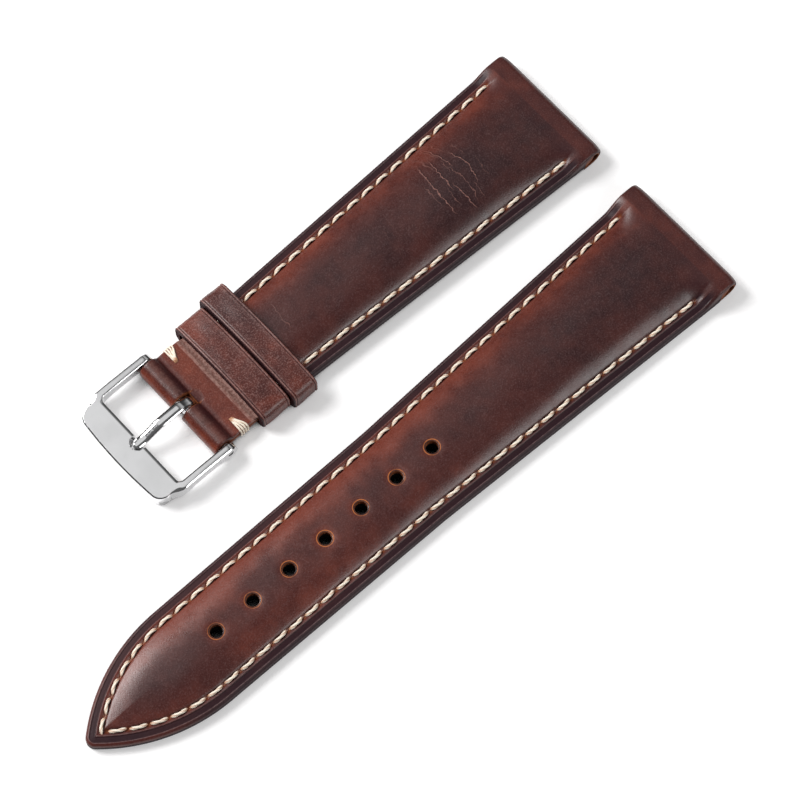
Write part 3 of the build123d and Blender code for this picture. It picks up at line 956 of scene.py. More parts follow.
    def top_leather(self) -> Piece:
        """Shape the top leather, with its crown, seam groove, crease and turned-over lug end."""
        form = self.form
        grid = self.flat_grid(0)
        place, off, inset = grid
        height = self.top_height(place, off, inset)
        bed = self.underside + form.lining
        beneath = np.maximum(height - form.top, bed)
        beneath[inset < form.padded_inset + form.padding_wall] = bed
        beneath[:, 0] = bed
        loop_outer, loop_inner = self.loop_columns(inset[:, 0])
        outer = np.concatenate([loop_outer, self.flat_face(height, grid)], 1)
        inner = np.concatenate([loop_inner, self.flat_face(beneath, grid)], 1)
        loop_count = loop_outer.shape[1]
        marks = self.top_marks(place, off, inset, loop_count)
        return Shell(f"{self.name}_top_leather_skin", outer, inner, marks).build()

    def top_marks(self, place: np.ndarray, off: np.ndarray, inset: np.ndarray, loop_count: int) -> dict:
        """Wear, edge paint, raw cuts and needle holes of the top leather, for both its faces."""
        form = self.form
        # The shoulders are redder where the wax is pulled, and more so on the lit +Y side, which is painted
        # light.
        lit = smooth_step(off, -2, 5)
        tone = (0.12 + 0.46 * lit) * bump(inset, form.shoulder_start + 0.4, 3.2) + 0.18 * bump(place, 1, 4)
        tone += 0.12 * bump(inset, form.stitch_inset - 0.3, 0.5)
        for share, middle, length, side, width in LONG_PATCHES if self.tip_start else SHORT_PATCHES:
            tone += share * bump(place, middle, length) * bump(off, side, width)
        near_tip = 0
        if self.tip_start:
            near_tip = smooth_step(place, 95, 114)
            tone += 0.24 * smooth_step(place, 45, 75)
            tone += 0.5 * smooth_step(inset, 0.55, 0.2) * smooth_step(place, 95, 112)
        for hole in self.hole_places:
            tone += 0.2 * bump(np.hypot(place - hole, off), 1.3, 0.8)
        ink = smooth_step(place, 4.0, 7.5) * (1 - 0.75 * near_tip) * 0.75 * smooth_step(inset, 0.7, 0.3)
        ink += smooth_step(place, 3.8, 5.6) * 0.8 * form.band(inset)
        ink += 0.3 * smooth_step(inset, 2.1, 1.6) * smooth_step(place, 5, 10)
        needle = self.needle_mark(place, off)
        # A darker, duller patch where the crown meets the lug loop.
        ink += 0.4 * bump(place, 5.4, 2.0) * bump(inset, 3.6, 1.6)
        # Painted shade in the seam groove either side of the stitches.
        ink += 0.7 * bump(inset, form.stitch_inset, 0.34) * smooth_step(place, 4.9, 5.9)
        ink = np.clip(ink, 0, 0.85) * (1 - needle)
        # Painted highlight: the lips either side of the pressed band are paler.
        lips = bump(inset, form.band_start - 0.09, 0.07) + 0.8 * bump(inset, form.band_end + 0.09, 0.07)
        pull_and_highlight = 0.45 * lips * smooth_step(place, 5, 7)
        rim = smooth_step(inset[:, :1], 0.3, 0.02)
        ink += 0.22 * smooth_step(place, 6.5, 3.6)

        def whole(loop: np.ndarray | float, flat: np.ndarray) -> np.ndarray:
            """Values of the turned-over loop, followed by those of the flat."""
            return np.concatenate([np.broadcast_to(loop, (len(flat), loop_count)), flat], 1)

        none = whole(0, np.zeros_like(place))
        tone = whole(0.32, tone)
        return {
            "tone": (tone, tone),
            # On the inner face the turned-over loop is painted dark, a painted shade in its bore, lighter at
            # its cut edges; the flat's inner face takes edge paint for the side walls.
            "ink": (whole(0.22 + 0.3 * rim, ink), whole(0.85 - 0.5 * rim, np.full_like(place, 0.9))),
            "raw": (none, whole(0.1 + 0.55 * rim, np.zeros_like(place))),
            "needle": (whole(0, 0.75 * needle), none),
            "skive": (whole(0, pull_and_highlight), none),
        }

    def padding(self) -> Piece:
        """Shape the crowned filler between the top leather and the lining."""
        form = self.form
        grid = self.flat_grid(form.padded_inset + form.padding_wall + 0.05)
        place, off, inset = grid
        bed = self.underside + form.lining + 0.02
        top = np.maximum(self.top_height(place, off, inset) - form.top - 0.03, bed + 0.05)
        place = np.maximum(place, form.loop_length + 0.4)
        grid = (place, off, inset)
        outer, inner = self.flat_face(top, grid), self.flat_face(bed, grid)
        return Shell(f"{self.name}_padding_filler", outer, inner).build()

    def lining(self) -> Piece:
        """Shape the lining, with its edges rounded by the burnisher."""
        form = self.form
        grid = self.flat_grid(0)
        inset = grid[2]
        drop = round_drop(inset, 0.14)
        outer = self.flat_face(self.underside + form.lining - 0.01 - drop, grid)
        inner = self.flat_face(self.underside + round_drop(inset, 0.3), grid)
        ink = smooth_step(inset, 0.45, 0.2)
        return Shell(f"{self.name}_lining_skin", outer, inner, {"ink": (ink, ink)}).build()

    def punch_holes(self, piece: Piece, raw: Material) -> None:
        """Punch the size holes through a piece, with a raw wall and an eased rim.

        Args:
            piece: A closed piece that the holes pass through.
            raw: Material of the hole's wall.
        """
        for place in self.hole_places:
            at = np.array([place])
            top = float(self.top_height(at, np.zeros(1), self.half_width(at))[0])
            deselect()
            bpy.ops.mesh.primitive_cylinder_add(
                vertices=40, radius=self.hole_radius * MM, depth=2 * MM,
                location=((self.lug_x - place) * MM, self.centre_y * MM, 0),
            )
            punch = bpy.context.object
            bpy.ops.object.transform_apply(location=True, rotation=True, scale=True)
            points = read_points(punch)
            upper = points[:, 2] > 0
            points[:, 2] = np.where(upper, top - self.hole_rim[0], -1)
            write_points(punch, points)
            punch.data.materials.append(raw)
            edit_all(punch)
            bpy.ops.mesh.select_all(action="DESELECT")
            bpy.ops.object.mode_set(mode="OBJECT")
            for face in punch.data.polygons:
                face.select = face.normal.z > 0.9
            bpy.ops.object.mode_set(mode="EDIT")
            bpy.ops.mesh.select_mode(type="FACE")
            centre = ((self.lug_x - place) * MM, self.centre_y * MM, top * MM)
            for rise, grow in (self.hole_rim, self.hole_mouth):
                bpy.ops.mesh.extrude_region_move(TRANSFORM_OT_translate={"value": (0, 0, rise * MM)})
                bpy.ops.transform.resize(value=(grow, grow, 1), center_override=centre)
            bpy.ops.object.mode_set(mode="OBJECT")
            modify(
                piece, "BOOLEAN",
                object=punch, operation="DIFFERENCE", solver="EXACT", material_mode="TRANSFER",
            )
            bpy.data.objects.remove(punch)
        soften(piece, 50)

    def build(self, finishes: Finishes) -> None:
        """Build and dress the piece's leather, padding and lining."""
        pieces = (
            (self.top_leather(), finishes.leather, Slot.LEATHER, f"{self.name}_top_leather"),
            (self.padding(), finishes.padding, Slot.PADDING, f"{self.name}_padding"),
            (self.lining(), finishes.lining, Slot.LINING, f"{self.name}_lining"),
        )
        for piece, material, slot, node in pieces:
            piece.data.materials.append(material)
            self.punch_holes(piece, finishes.raw)
            dress(piece, material, slot, self.body, node)


@dataclass
class Seam:
    """Rows of saddle stitches: each arches out of one needle hole and dives into the next."""

    strap: PaddedPiece
    width: float = 0.54
    height: float = 0.45
    lean: float = 20.0
    arch: float = 0.2
    sway: float = 0.05
    bulge: float = 0.04
    twist: float = 3.0
    seat: float = 0.22
    unevenness: float = 0.03

    def stitch(self) -> Piece:
        """Model one stitch about the origin, lying along X.

        Returns:
            The stitch, made of two plies laid up with a twist.
        """
        half = self.strap.form.stitch_length / 2 + 0.2
        deselect()
        bpy.ops.mesh.primitive_uv_sphere_add(segments=18, ring_count=20, radius=MM)
        stitch = bpy.context.object
        edit_all(stitch)
        bpy.ops.transform.rotate(value=math.pi / 2, orient_axis="Y", center_override=(0, 0, 0))
        bpy.ops.object.mode_set(mode="OBJECT")
        points = read_points(stitch)
        along = np.clip(points[:, 0], -1, 1)
        turn = np.arctan2(points[:, 2], points[:, 1])
        ring = (1 - np.abs(along) ** 6) ** 0.5
        ply = 1 - 0.28 * np.cos(turn - self.twist * along) ** 4
        points[:, 0] = along * half
        points[:, 1] = ring * ply * np.cos(turn) * self.width / 2 + self.sway * np.sin(along * math.pi / 2)
        points[:, 1] -= self.bulge * (1 - 2 * along**2)
        points[:, 2] = ring * ply * np.sin(turn) * self.height / 2
        points[:, 2] += self.arch * (1 - 2.4 * np.abs(along) ** 3)
        write_points(stitch, points)
        # Painted shade in the groove between the plies and at the ends, where the thread dives into the
        # leather.
        hollow = np.cos(turn - self.twist * along) ** 6 * 0.65 + np.abs(along) ** 6
        write_mark(stitch, "hollow", hollow)
        bpy.ops.object.shade_smooth()
        return stitch

    def row(self, name: str, side: int) -> Piece:
        """Copy the stitch along the seam and join the copies.

        Args:
            name: Name of the finished row.
            side: 1 for the +Y side or a seam that goes all round, -1 for the -Y side.

        Returns:
            The row as one piece.
        """
        strap, form = self.strap, self.strap.form
        path, length = strap.seam_path()
        count = strap.stitch_count(length)
        model = self.stitch()
        copies = []
        for i in range(count):
            middle = form.stitch_length / 2 + form.stitch_pitch * i
            near = middle + np.array([-0.4, 0, 0.4])
            back, here, ahead = np.stack([np.interp(near, length, path[:, k]) for k in (0, 1)], 1)
            copies.append(self.lay(model, here, ahead - back, side, i))
        bpy.data.objects.remove(model)
        row = join_pieces(copies, name)
        bpy.ops.object.transform_apply(location=True, rotation=True, scale=True)
        return row

    def lay(self, model: Piece, here: np.ndarray, heading: np.ndarray, side: int, count: int) -> Piece:
        """Lay one copy of the stitch on the seam, leaning away from the padding.

        Args:
            model: The stitch.
            here: Place and sideways distance of its middle.
            heading: Direction of the seam there.
            side: 1, or -1 for a mirrored row.
            count: Number of the stitch, which sets how unevenly it lies.

        Returns:
            The copy.
        """
        strap, form = self.strap, self.strap.form
        z = strap.underside + form.border - form.groove_depth + self.seat
        along = Vector((-heading[0], side * heading[1], 0)).normalized()
        inward = Vector((0, 0, 1)).cross(along)
        centre_side = -side * here[1]
        if inward.y * centre_side < 0 and abs(inward.y) > 0.05:
            inward = -inward
        up = (Vector((0, 0, 1)) - inward * math.tan(math.radians(self.lean))).normalized()
        across = up.cross(along)
        wander = math.sin(count * 12.9898) * 0.5 + math.sin(count * 4.1414) * 0.5
        turn = Matrix((along, across, up)).transposed().to_4x4()
        copy = model.copy()
        copy.data = model.data.copy()
        bpy.context.scene.collection.objects.link(copy)
        z += self.unevenness * wander
        spot = Vector((strap.lug_x - here[0], strap.centre_y + side * here[1], z)) * MM
        skew = Matrix.Rotation(math.radians(3 * wander), 4, "Z")
        copy.matrix_world = Matrix.Translation(spot) @ turn @ skew
        return copy

    def build(self, finishes: Finishes) -> None:
        """Build and dress the seams of the piece, one for each stitching node."""
        strap = self.strap
        rows = ((f"{strap.name}_stitching", 1),)
        if strap.tip_start is None:
            rows = ((f"{strap.name}_stitching_left", 1), (f"{strap.name}_stitching_right", -1))
        for node, side in rows:
            row = self.row(f"{node}_thread", side)
            dress(row, finishes.thread, Slot.THREAD, strap.body, node)


@dataclass
class TailFold:
    """Leather that is turned back round the spring bar, slotted for the tongue."""

    lug_x: float
    centre_y: float
    bar_place: float
    bar_z: float
    start_place: float
    half: float
    underside: float
    layer: float = 0.9
    radius: float = 1.8
    bore_radius: float = 0.86
    slot_half: float = 1.15
    slot_place: float = 71.8
    skive_start: float = 67.8
    skive_end: float = 68.9

    def profile(self) -> tuple[np.ndarray, np.ndarray]:
        """Outer and inner line of the fold, seen from the side, from its top end to its lower end.

        Returns:
            Two lists of place and height with matching points.
        """
        top = self.underside + 2 * self.layer
        valley = self.bar_place - self.radius + 0.15
        flap = np.linspace(self.start_place, valley - 0.9, 40)
        flap_z = top - 0.5 * smooth_step(flap, self.skive_end, self.skive_start)
        turn = np.radians(np.linspace(158, -158, 60))
        bar = (self.bar_place, self.bar_z)
        roll = circle(bar, self.radius, turn)
        dip_place = valley - np.array([0.55, 0.25, 0.03])
        dip = np.stack([dip_place, top - np.array([0.03, 0.09, 0.05])], 1)
        roll = roll[(roll[:, 1] > top + 0.02) | (roll[:, 0] > self.bar_place - 1.3)]
        under = np.linspace(valley - 0.2, self.start_place, 24)
        under_line = np.stack([under, np.full_like(under, self.underside)], 1)
        outer = np.concatenate([np.stack([flap, flap_z], 1), dip, roll, under_line])
        angle = np.arctan2(outer[:, 1] - self.bar_z, outer[:, 0] - self.bar_place)
        core = circle(bar, self.bore_radius, angle)
        flat = self.underside + self.layer
        away = smooth_step(outer[:, 0], self.bar_place - 0.7, self.bar_place - 2.0)
        upper = np.arange(len(outer)) < len(flap) + 3 + len(roll) / 2
        seam = np.stack([outer[:, 0], np.where(upper, flat + 0.03, flat - 0.03)], 1)
        inner = core + (seam - core) * away[:, None]
        return outer, inner

    def build(self, finishes: Finishes) -> None:
        """Build and dress the fold."""
        outer_line, inner_line = self.profile()
        slot_turn = np.linspace(-90, 90, 13)
        slot_rows = self.slot_half * np.sin(np.radians(slot_turn))
        slot_edge = self.half - self.slot_half
        side_rows = self.half - np.concatenate([
            [0, 0.04, 0.12, 0.25, 0.45], np.linspace(0.8, slot_edge - 0.5, 14),
            slot_edge - np.array([0.25, 0.12, 0.04]),
        ])
        off = np.concatenate([side_rows, -slot_rows, -side_rows[::-1]])
        shape = (len(off), len(outer_line))
        edge_gap = self.half - np.abs(off)
        slot_gap = np.abs(off) - self.slot_half
        count = np.arange(shape[1])
        place = outer_line[:, 0]
        in_slot = place > self.slot_place + self.slot_half - 0.15
        first, last = np.flatnonzero(in_slot)[[0, -1]]
        pull = np.zeros(shape)
        inside = np.abs(off) <= self.slot_half + 1e-6
        bow = np.sqrt(np.maximum(self.slot_half**2 - off**2, 0))
        for end, sign in ((first, -1), (last, 1)):
            fade = np.clip(1 - np.abs(count - end) / 9, 0, 1)
            fade = np.where((count - end) * sign > 0, fade, (count == end) * 1.0)
            pull += np.outer(bow * inside, fade)
        beside = (count >= first - 1) & (count <= last + 1)
        slot_drop = np.outer(round_drop(np.where(slot_gap > 0, slot_gap, 9), 0.18), beside)
        drop = np.maximum(round_drop(edge_gap, 0.22)[:, None], slot_drop)
        normal = np.gradient(outer_line, axis=0)
        normal = np.stack([normal[:, 1], -normal[:, 0]], 1)
        normal /= np.hypot(*normal.T)[:, None]
        near_bar = smooth_step(place, self.bar_place - 2.2, self.bar_place - 1.7)
        outer = self.sweep(outer_line, off, pull, drop, normal, near_bar)
        inner = self.sweep(inner_line, off, pull, -0.3 * drop, normal, near_bar)
        gap = np.outer(inside, (count >= first) & (count <= last))
        upper = count < len(count) * 0.62
        ones = np.ones(len(off))
        # The flap is redder away from the fold; the roll's lower side towards the window is more orange,
        # partly pulled wax and partly a painted highlight where it faces the light.
        pull_and_highlight = 0.42 * smooth_step(place, self.bar_place - 1.2, self.bar_place - 2.6) * upper
        pull_and_highlight += 0.6 * smooth_step(place, self.bar_place + 0.7, self.bar_place + 1.6)
        tone = np.outer(ones, pull_and_highlight)
        # Painted shade in the valley where the tail turns back round the bar, on the roll's side towards the
        # flap.
        ink = 0.6 * np.outer(ones, bump(place, self.bar_place - 1.35, 0.85) * upper)
        strip = np.outer(ones, smooth_step(place, self.skive_end + 0.05, self.skive_end - 0.1) * upper)
        rim = np.outer(bump(slot_gap, 0, 0.12), (count >= first - 3) & (count <= last + 3)) * 0.45
        rim = np.maximum(rim, 0.5 * np.outer(inside, np.isin(count, (first, last))))
        lip = np.outer(ones, bump(place, self.skive_end + 0.02, 0.09) * upper)
        # Painted highlight: speckled pale nap along the fold's crest.
        crest = bump(place, self.bar_place - 0.1, 0.42) * upper
        crest_highlight = 0.13 * np.outer(smooth_step(slot_gap, 0, 1.5), crest)
        flesh = np.full(shape, 0.4)
        marks = {
            "tone": (tone, tone),
            "ink": (ink * (1 - strip), flesh),
            "raw": (rim, flesh),
            "skive": (np.maximum(np.maximum(0.85 * strip, lip), crest_highlight), np.zeros(shape)),
        }
        piece = Shell("tail_fold_leather", outer, inner, marks, gap).build()
        dress(piece, finishes.tail, Slot.LEATHER, "short_strap", "tail_fold")

    def sweep(
        self,
        line: np.ndarray,
        off: np.ndarray,
        pull: np.ndarray,
        drop: np.ndarray,
        normal: np.ndarray,
        near_bar: np.ndarray,
    ) -> np.ndarray:
        """Sweep a side line across the fold, pulled out round the slot's ends and eased at the edges.

        Args:
            line: Place and height of each point of the line.
            off: Distance of each row from the centre line.
            pull: How far each point of the grid is drawn towards the lug end.
            drop: How far each point lies below the face.
            normal: Direction of the face at each point of the line.
            near_bar: 1 where the line goes round the bar, where nothing is drawn along.

        Returns:
            The points of the face.
        """
        place = line[None, :, 0] - pull * (1 - near_bar)[None, :]
        place = place + drop * normal[None, :, 0]
        height = line[None, :, 1] + drop * normal[None, :, 1]
        y = np.broadcast_to(self.centre_y + off[:, None], place.shape)
        return np.stack([self.lug_x - place, y, height], -1)


@dataclass
class BarTack:
    """Threads that are wrapped round one edge of the tail and pulled together at their inner end."""

    tail: TailFold
    place: float = 70.5
    thread: float = 0.16
    reach: float = 2.6
    count: int = 4
    step: float = 0.43
    root_step: float = 0.15
    root_shift: float = 0.4
    stagger: float = 0.2

    def wrap(self, x: float, x_inner: float, side: int, short: float) -> Piece:
        """Lay one thread round the edge of the tail.

        Args:
            x: Where the thread crosses the edge.
            x_inner: Where it goes into the leather.
            side: 1 for the +Y edge, -1 for the -Y edge.
            short: How much nearer to the edge it goes in than the others.

        Returns:
            The thread as a mesh tube.
        """
        tail = self.tail
        top = tail.underside + 2 * tail.layer
        bottom = tail.underside
        r = self.thread
        inner, edge = tail.half - self.reach + short, tail.half + r * 0.9
        line = [
            (x_inner, inner, top - 0.45),
            (x_inner, inner + 0.1, top + r * 0.6),
            (x_inner, inner + 0.5, top + r),
            (x, tail.half - 0.5, top + r),
            (x, edge, top - 0.05),
            (x, edge + 0.04, (top + bottom) / 2),
            (x, edge, bottom + 0.05),
            (x, tail.half - 0.6, bottom - r * 0.9),
            (x_inner, inner + 0.3, bottom - r * 0.8),
            (x_inner, inner, bottom + 0.3),
        ]
        deselect()
        bpy.ops.curve.primitive_nurbs_path_add()
        path = bpy.context.object
        curve = path.data
        curve.splines.clear()
        spline = curve.splines.new("NURBS")
        spline.points.add(len(line) - 1)
        for point, (px, py, pz) in zip(spline.points, line):
            point.co = (px * MM, (tail.centre_y + side * py) * MM, pz * MM, 1)
        spline.order_u = 3
        spline.use_endpoint_u = True
        spline.resolution_u = 4
        curve.bevel_depth = r * MM
        curve.bevel_resolution = 3
        curve.use_fill_caps = True
        bpy.ops.object.convert(target="MESH")
        return bpy.context.object

    def build(self, finishes: Finishes) -> None:
        """Build and dress the tacks on both edges of the tail."""
        tail = self.tail
        middle = tail.lug_x - self.place
        for side, node in ((1, "bar_tack_left"), (-1, "bar_tack_right")):
            threads = []
            for i in range(self.count):
                share = i - (self.count - 1) / 2
                root = middle + share * self.root_step - self.root_shift
                threads.append(self.wrap(middle + share * self.step, root, side, self.stagger * (i % 2)))
            tack = join_pieces(threads, f"{node}_thread")
            points = read_points(tack)
            # Painted shade in the twist of each thread and towards the inner end, where the threads go into
            # the leather.
            wave = np.sin((points[:, 1] * 2.2 + points[:, 2] * 2.2) * math.pi + points[:, 0] * 9)
            end = smooth_step(np.abs(points[:, 1] - tail.centre_y), tail.half - 1.7, tail.half - 2.4)
            write_mark(tack, "hollow", 0.35 * (0.5 + 0.5 * wave) ** 2 + 0.9 * end)
            face_outwards(tack)
            bpy.ops.object.shade_smooth()
            dress(tack, finishes.thread, Slot.THREAD, "short_strap", node)


@dataclass
class Keeper:
    """Leather band round the strap, creased along both edges."""

    node: str
    body: str
    wear: float = 0.0
    wall: float = 1.1
    floor: float = 0.6
    corner: float = 1.35
    inner_corner: float = 0.4
    arch: float = 0.75
    crease_inset: float = 0.46

    def ring(self, half: float, bottom: float, top: float, corner: float) -> tuple[np.ndarray, np.ndarray]:
        """Section of the band: points and outward directions, all the way round.

        Args:
            half: Half its width.
            bottom: Height of its underside.
            top: Height of its crest.
            corner: Radius of its corners.

        Returns:
            Points and directions as distance from the centre line and height.
        """
        flat = half - corner
        slope = math.atan2(2 * self.arch, flat)
        arc_top = corner * math.cos(slope)
        reach = half - corner + corner * math.sin(slope)
        shoulder = top - self.arch * (reach / flat)
        lower = [np.stack([np.linspace(-flat, flat, 18), np.full(18, bottom)], 1)]
        for centre_y, centre_z, start, stop, steps in (
            (flat, bottom + corner, -90, 0, 9),
            (flat, shoulder - arc_top, 0, 90 - math.degrees(slope), 10),
        ):
            turn = np.radians(np.linspace(start, stop, steps))
            lower.append(circle((centre_y, centre_z), corner, turn))
        crest = np.linspace(reach, 0, 16)[1:]
        lower.append(np.stack([crest, shoulder + (top - shoulder) * (1 - (crest / reach) ** 2)], 1))
        right = np.concatenate(lower)
        left = right[18:-1][::-1] * [-1, 1]
        points = np.concatenate([right, left, right[:1]])
        along = np.gradient(points, axis=0)
        along[0] = along[-1] = (1, 0)
        outward = np.stack([along[:, 1], -along[:, 0]], 1)
        return points, outward / np.hypot(*outward.T)[:, None]

    def build(self, finishes: Finishes) -> None:
        """Build and dress the band."""
        low, high = (Vector(corner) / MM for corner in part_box(self.node))
        middle, half, length = (low.y + high.y) / 2, (high.y - low.y) / 2, high.x - low.x
        outer_ring, outward = self.ring(half, low.z, high.z, self.corner)
        inner_ring, _ = self.ring(half - self.wall, low.z + self.floor, high.z - self.wall, self.inner_corner)
        near = np.concatenate([[0, 0.03, 0.08, 0.16, 0.28], self.crease_inset + np.linspace(-0.3, 0.3, 9)])
        steps = np.concatenate([near, np.linspace(1.3, length - 1.3, 8), (length - near)[::-1]])
        gap = np.minimum(steps, length - steps)
        lip = bump(gap, self.crease_inset - 0.15, 0.07) + 0.3 * bump(gap, self.crease_inset + 0.18, 0.09)
        drop = round_drop(gap, 0.22) + 0.09 * bump(gap, self.crease_inset, 0.1) - 0.045 * lip
        x = np.broadcast_to((high.x - steps)[:, None], (len(steps), len(outer_ring)))
        sway = 0.05 * np.sin(outer_ring[:, 0] * 0.55 + half)[None, :] * np.sin(steps * 1.4)[:, None]
        offset = -drop[:, None] + sway * (gap > 0.3)[:, None]
        y = middle + outer_ring[:, 0] + offset * outward[:, 0]
        height = np.maximum(outer_ring[:, 1] + offset * outward[:, 1], low.z)
        outer = np.stack([x, y, height], -1)
        inner = np.stack(np.broadcast_arrays(x, middle + inner_ring[:, 0], inner_ring[:, 1]), -1)
        ones = np.ones(x.shape)
        upper = smooth_step(outer_ring[:, 1], low.z + 1.0, high.z - 1.4)[None, :]
        raw = 0.1 * bump(gap, 0.2, 0.06)[:, None] * ones
        edge = 0.6 * bump(gap, self.crease_inset, 0.09) + 0.8 * smooth_step(gap, 0.2, 0.06)
        # Darker towards the bottom of the band, besides the paint on its edges and creases.
        ink = np.minimum(edge[:, None] * ones + 0.3 * (1 - upper), 0.9)
        rubbed = 0.2 * bump(np.abs(outer_ring[:, 0]), half - 0.6, 1.6)[None, :]
        # The lips of the creases are redder, a painted highlight.
        tone = 0.2 + self.wear + rubbed + 0.35 * lip[:, None]
        flesh = 0.6 * smooth_step(gap, 0.3, 0.9)[:, None] * ones
        # Painted highlight: pale nap on the creases' lips along the upper part of the band.
        pull_and_highlight = 0.6 * lip[:, None] * upper
        marks = {
            "tone": (tone, tone),
            "ink": (ink, 0.7 - flesh),
            "raw": (raw, flesh),
            "skive": (pull_and_highlight, 0 * pull_and_highlight),
        }
        piece = Shell(f"{self.node}_band", outer, inner, marks).build()
        dress(piece, finishes.band, Slot.LEATHER, self.body, self.node)


@dataclass
class BuckleFrame:
    """Pressed and polished frame: a wide front plate, two tapering arms and an eye on each arm."""

    lug_x: float
    centre_y: float
    bar_place: float
    bar_z: float
    front_place: float
    arm_outer: float
    window_place: float = 83.3
    arm: float = 1.2
    plate_step: float = 0.85
    plate_step_length: float = 2.2
    eye: float = 1.3
    window_corner: float = 0.8
    corner: float = 1.9
    bow: float = 0.35
    notch_radius: float = 1.2
    notch_end: float = 84.8
    shelf: float = 2.0
    pin_radius: float = 0.5
    inner_bevel: float = 0.46
    arm_bevel: float = 0.2
    outer_bevel: float = 0.2

    @property
    def plate_half(self) -> float:
        """Half the width of the front plate."""
        return self.arm_outer - self.plate_step

    def columns(self) -> tuple[np.ndarray, np.ndarray, np.ndarray]:
        """Inner and outer plan points of the columns, and the width of the bevel on the outside.

        Returns:
            Points as place and sideways distance, from the +Y eye to the middle of the plate.
        """
        inner_y = self.arm_outer - self.arm
        eye_turn = np.linspace(0, math.pi / 2, 10)
        arm_end = self.window_place - self.window_corner
        arm = np.concatenate([
            self.bar_place - self.eye * np.cos(eye_turn), np.linspace(self.bar_place, arm_end, 24)[1:-1]
        ])
        bevel = [np.full(len(arm), self.outer_bevel)]
        inner = [np.stack([arm, 0 * arm + inner_y], 1)]
        outer = [np.stack([arm, self.outer_side(arm)], 1)]
        turn = np.linspace(0, math.pi / 2, 40)
        inner.append(np.stack([
            arm_end + self.window_corner * np.sin(turn), inner_y - self.window_corner * (1 - np.cos(turn))
        ], 1))
        corner_place = self.front_place - self.bow - self.corner
        side = np.linspace(arm_end, corner_place, 27)
        curve = np.linspace(0, math.pi / 2, 14)[1:]
        rounded = np.stack([
            corner_place + self.corner * np.sin(curve), self.plate_half - self.corner * (1 - np.cos(curve))
        ], 1)
        outer.append(np.concatenate([np.stack([side, self.outer_side(side)], 1), rounded]))
        bevel.append(self.outer_bevel + 0.42 * bump(outer[-1][:, 0], self.window_place + 1.1, 0.9))
        plate_y = np.concatenate([
            np.linspace(inner_y - self.window_corner, 1.6, 26)[1:],
            np.linspace(1.5, 0.9, 9),
            np.linspace(0.82, 0, 10),
        ])
        inner.append(np.stack([0 * plate_y + self.window_place, plate_y], 1))
        start = self.plate_half - self.corner
        front_y = plate_y * start / (inner_y - self.window_corner)
        front = self.front_place - self.bow * (front_y / start) ** 2
        outer.append(np.stack([front, front_y], 1))
        bevel.append(np.full(len(plate_y), self.outer_bevel))
        return np.concatenate(inner), np.concatenate(outer), np.concatenate(bevel)

    def outer_side(self, place: np.ndarray) -> np.ndarray:
        """Sideways distance of the frame's outer side, which steps in where the plate starts."""
        step = smooth_step(place, self.window_place, self.window_place + self.plate_step_length)
        return self.arm_outer - self.plate_step * step

    def top(self, place: np.ndarray) -> np.ndarray:
        """Height of the upper face."""
        ahead = place - self.bar_place
        stations = (
            (0, 0.06), (3.6, 0.16), (6.7, 0.2), (8.9, 0.1), (11.2, -0.12), (12.8, -0.32), (13.5, -0.42)
        )
        return self.bar_z + self.eye_reach(ahead) + smooth_between(ahead, stations)

    def bottom(self, place: np.ndarray) -> np.ndarray:
        """Height of the underside."""
        ahead = place - self.bar_place
        rise = np.interp(ahead, [0, 2.4, 6.7, 8.9, 11.6, 12.0, 13.5], [0, 0.58, 0.6, 0.3, 0.02, -0.48, -0.48])
        return self.bar_z - self.eye_reach(ahead) + rise

    def eye_reach(self, ahead: np.ndarray) -> np.ndarray:
        """How far the frame reaches above and below the bar's axis, rounded behind it by the eye."""
        return np.sqrt(np.maximum(self.eye**2 - np.minimum(ahead, 0) ** 2, 0))

    def notch(self, place: np.ndarray, off: np.ndarray) -> np.ndarray:
        """Share of the notch's depth that is cut at each point of the plate."""
        centre = self.notch_end - self.notch_radius
        beyond = np.maximum(place - centre, 0)
        return smooth_step(self.notch_radius - np.hypot(beyond, off), -0.07, 0.07)

    @staticmethod
    def chamfer(depth: np.ndarray, wide: np.ndarray | float, fall: np.ndarray | float) -> np.ndarray:
        """Drop of a flat bevel, eased where it meets the face, at a distance from its outer edge."""
        share = np.clip(1 - depth / wide, 0, 1)
        return fall * np.where(share < 0.2, share**2 / 0.4, share - 0.1)

    def build(self, finishes: Finishes) -> None:
        """Build and dress the frame."""
        inner, outer, bevel = self.columns()
        inner = np.concatenate([inner, inner[-2::-1] * [1, -1]])
        outer = np.concatenate([outer, outer[-2::-1] * [1, -1]])
        bevel = np.concatenate([bevel, bevel[-2::-1]])
        width = np.hypot(*(outer - inner).T)
        inset = self.arm_bevel + (self.inner_bevel - self.arm_bevel) * smooth_step(width, 1.6, 2.8)
        near = inset[None, :] * np.array([0, 0.4, 0.78, 0.9, 1])[:, None]
        far = bevel[None, :] * np.array([1, 0.9, 0.78, 0.4, 0])[:, None]
        middle = np.linspace(0, 1, 38)[1:-1, None]
        between = near[-1] + (width - bevel - near[-1])[None, :] * middle
        depth = np.concatenate([near, between, width[None, :] - far])
        points = inner[None] + (outer - inner)[None] * (depth / width)[..., None]
        place, off = points[..., 0], points[..., 1]
        top, bottom = self.top(place), self.bottom(place)
        flank = width[None, :] - depth
        arm = smooth_step(width, 2.8, 1.6)[None, :]
        fall = self.chamfer(depth, inset[None, :], 0.55 * inset[None, :])
        fall += self.chamfer(flank, bevel[None, :], 0.12)
        fall += 0.03 * arm * (2 * depth / width - 1) ** 2
        tall = np.maximum(top - bottom, 0)
        top = top - np.minimum(fall, 0.4 * tall)
        eased = 0.6 * round_drop(depth, 0.2) + 0.6 * round_drop(flank, 0.2)
        bottom = np.maximum(bottom + np.minimum(eased, 0.3 * tall), 0.02)
        cut = self.notch(place, off)
        rim = bump(cut, 0.5, 0.4) * 0.05
        top = top - np.maximum(top - self.shelf, 0) * cut - rim * (cut < 0.5)
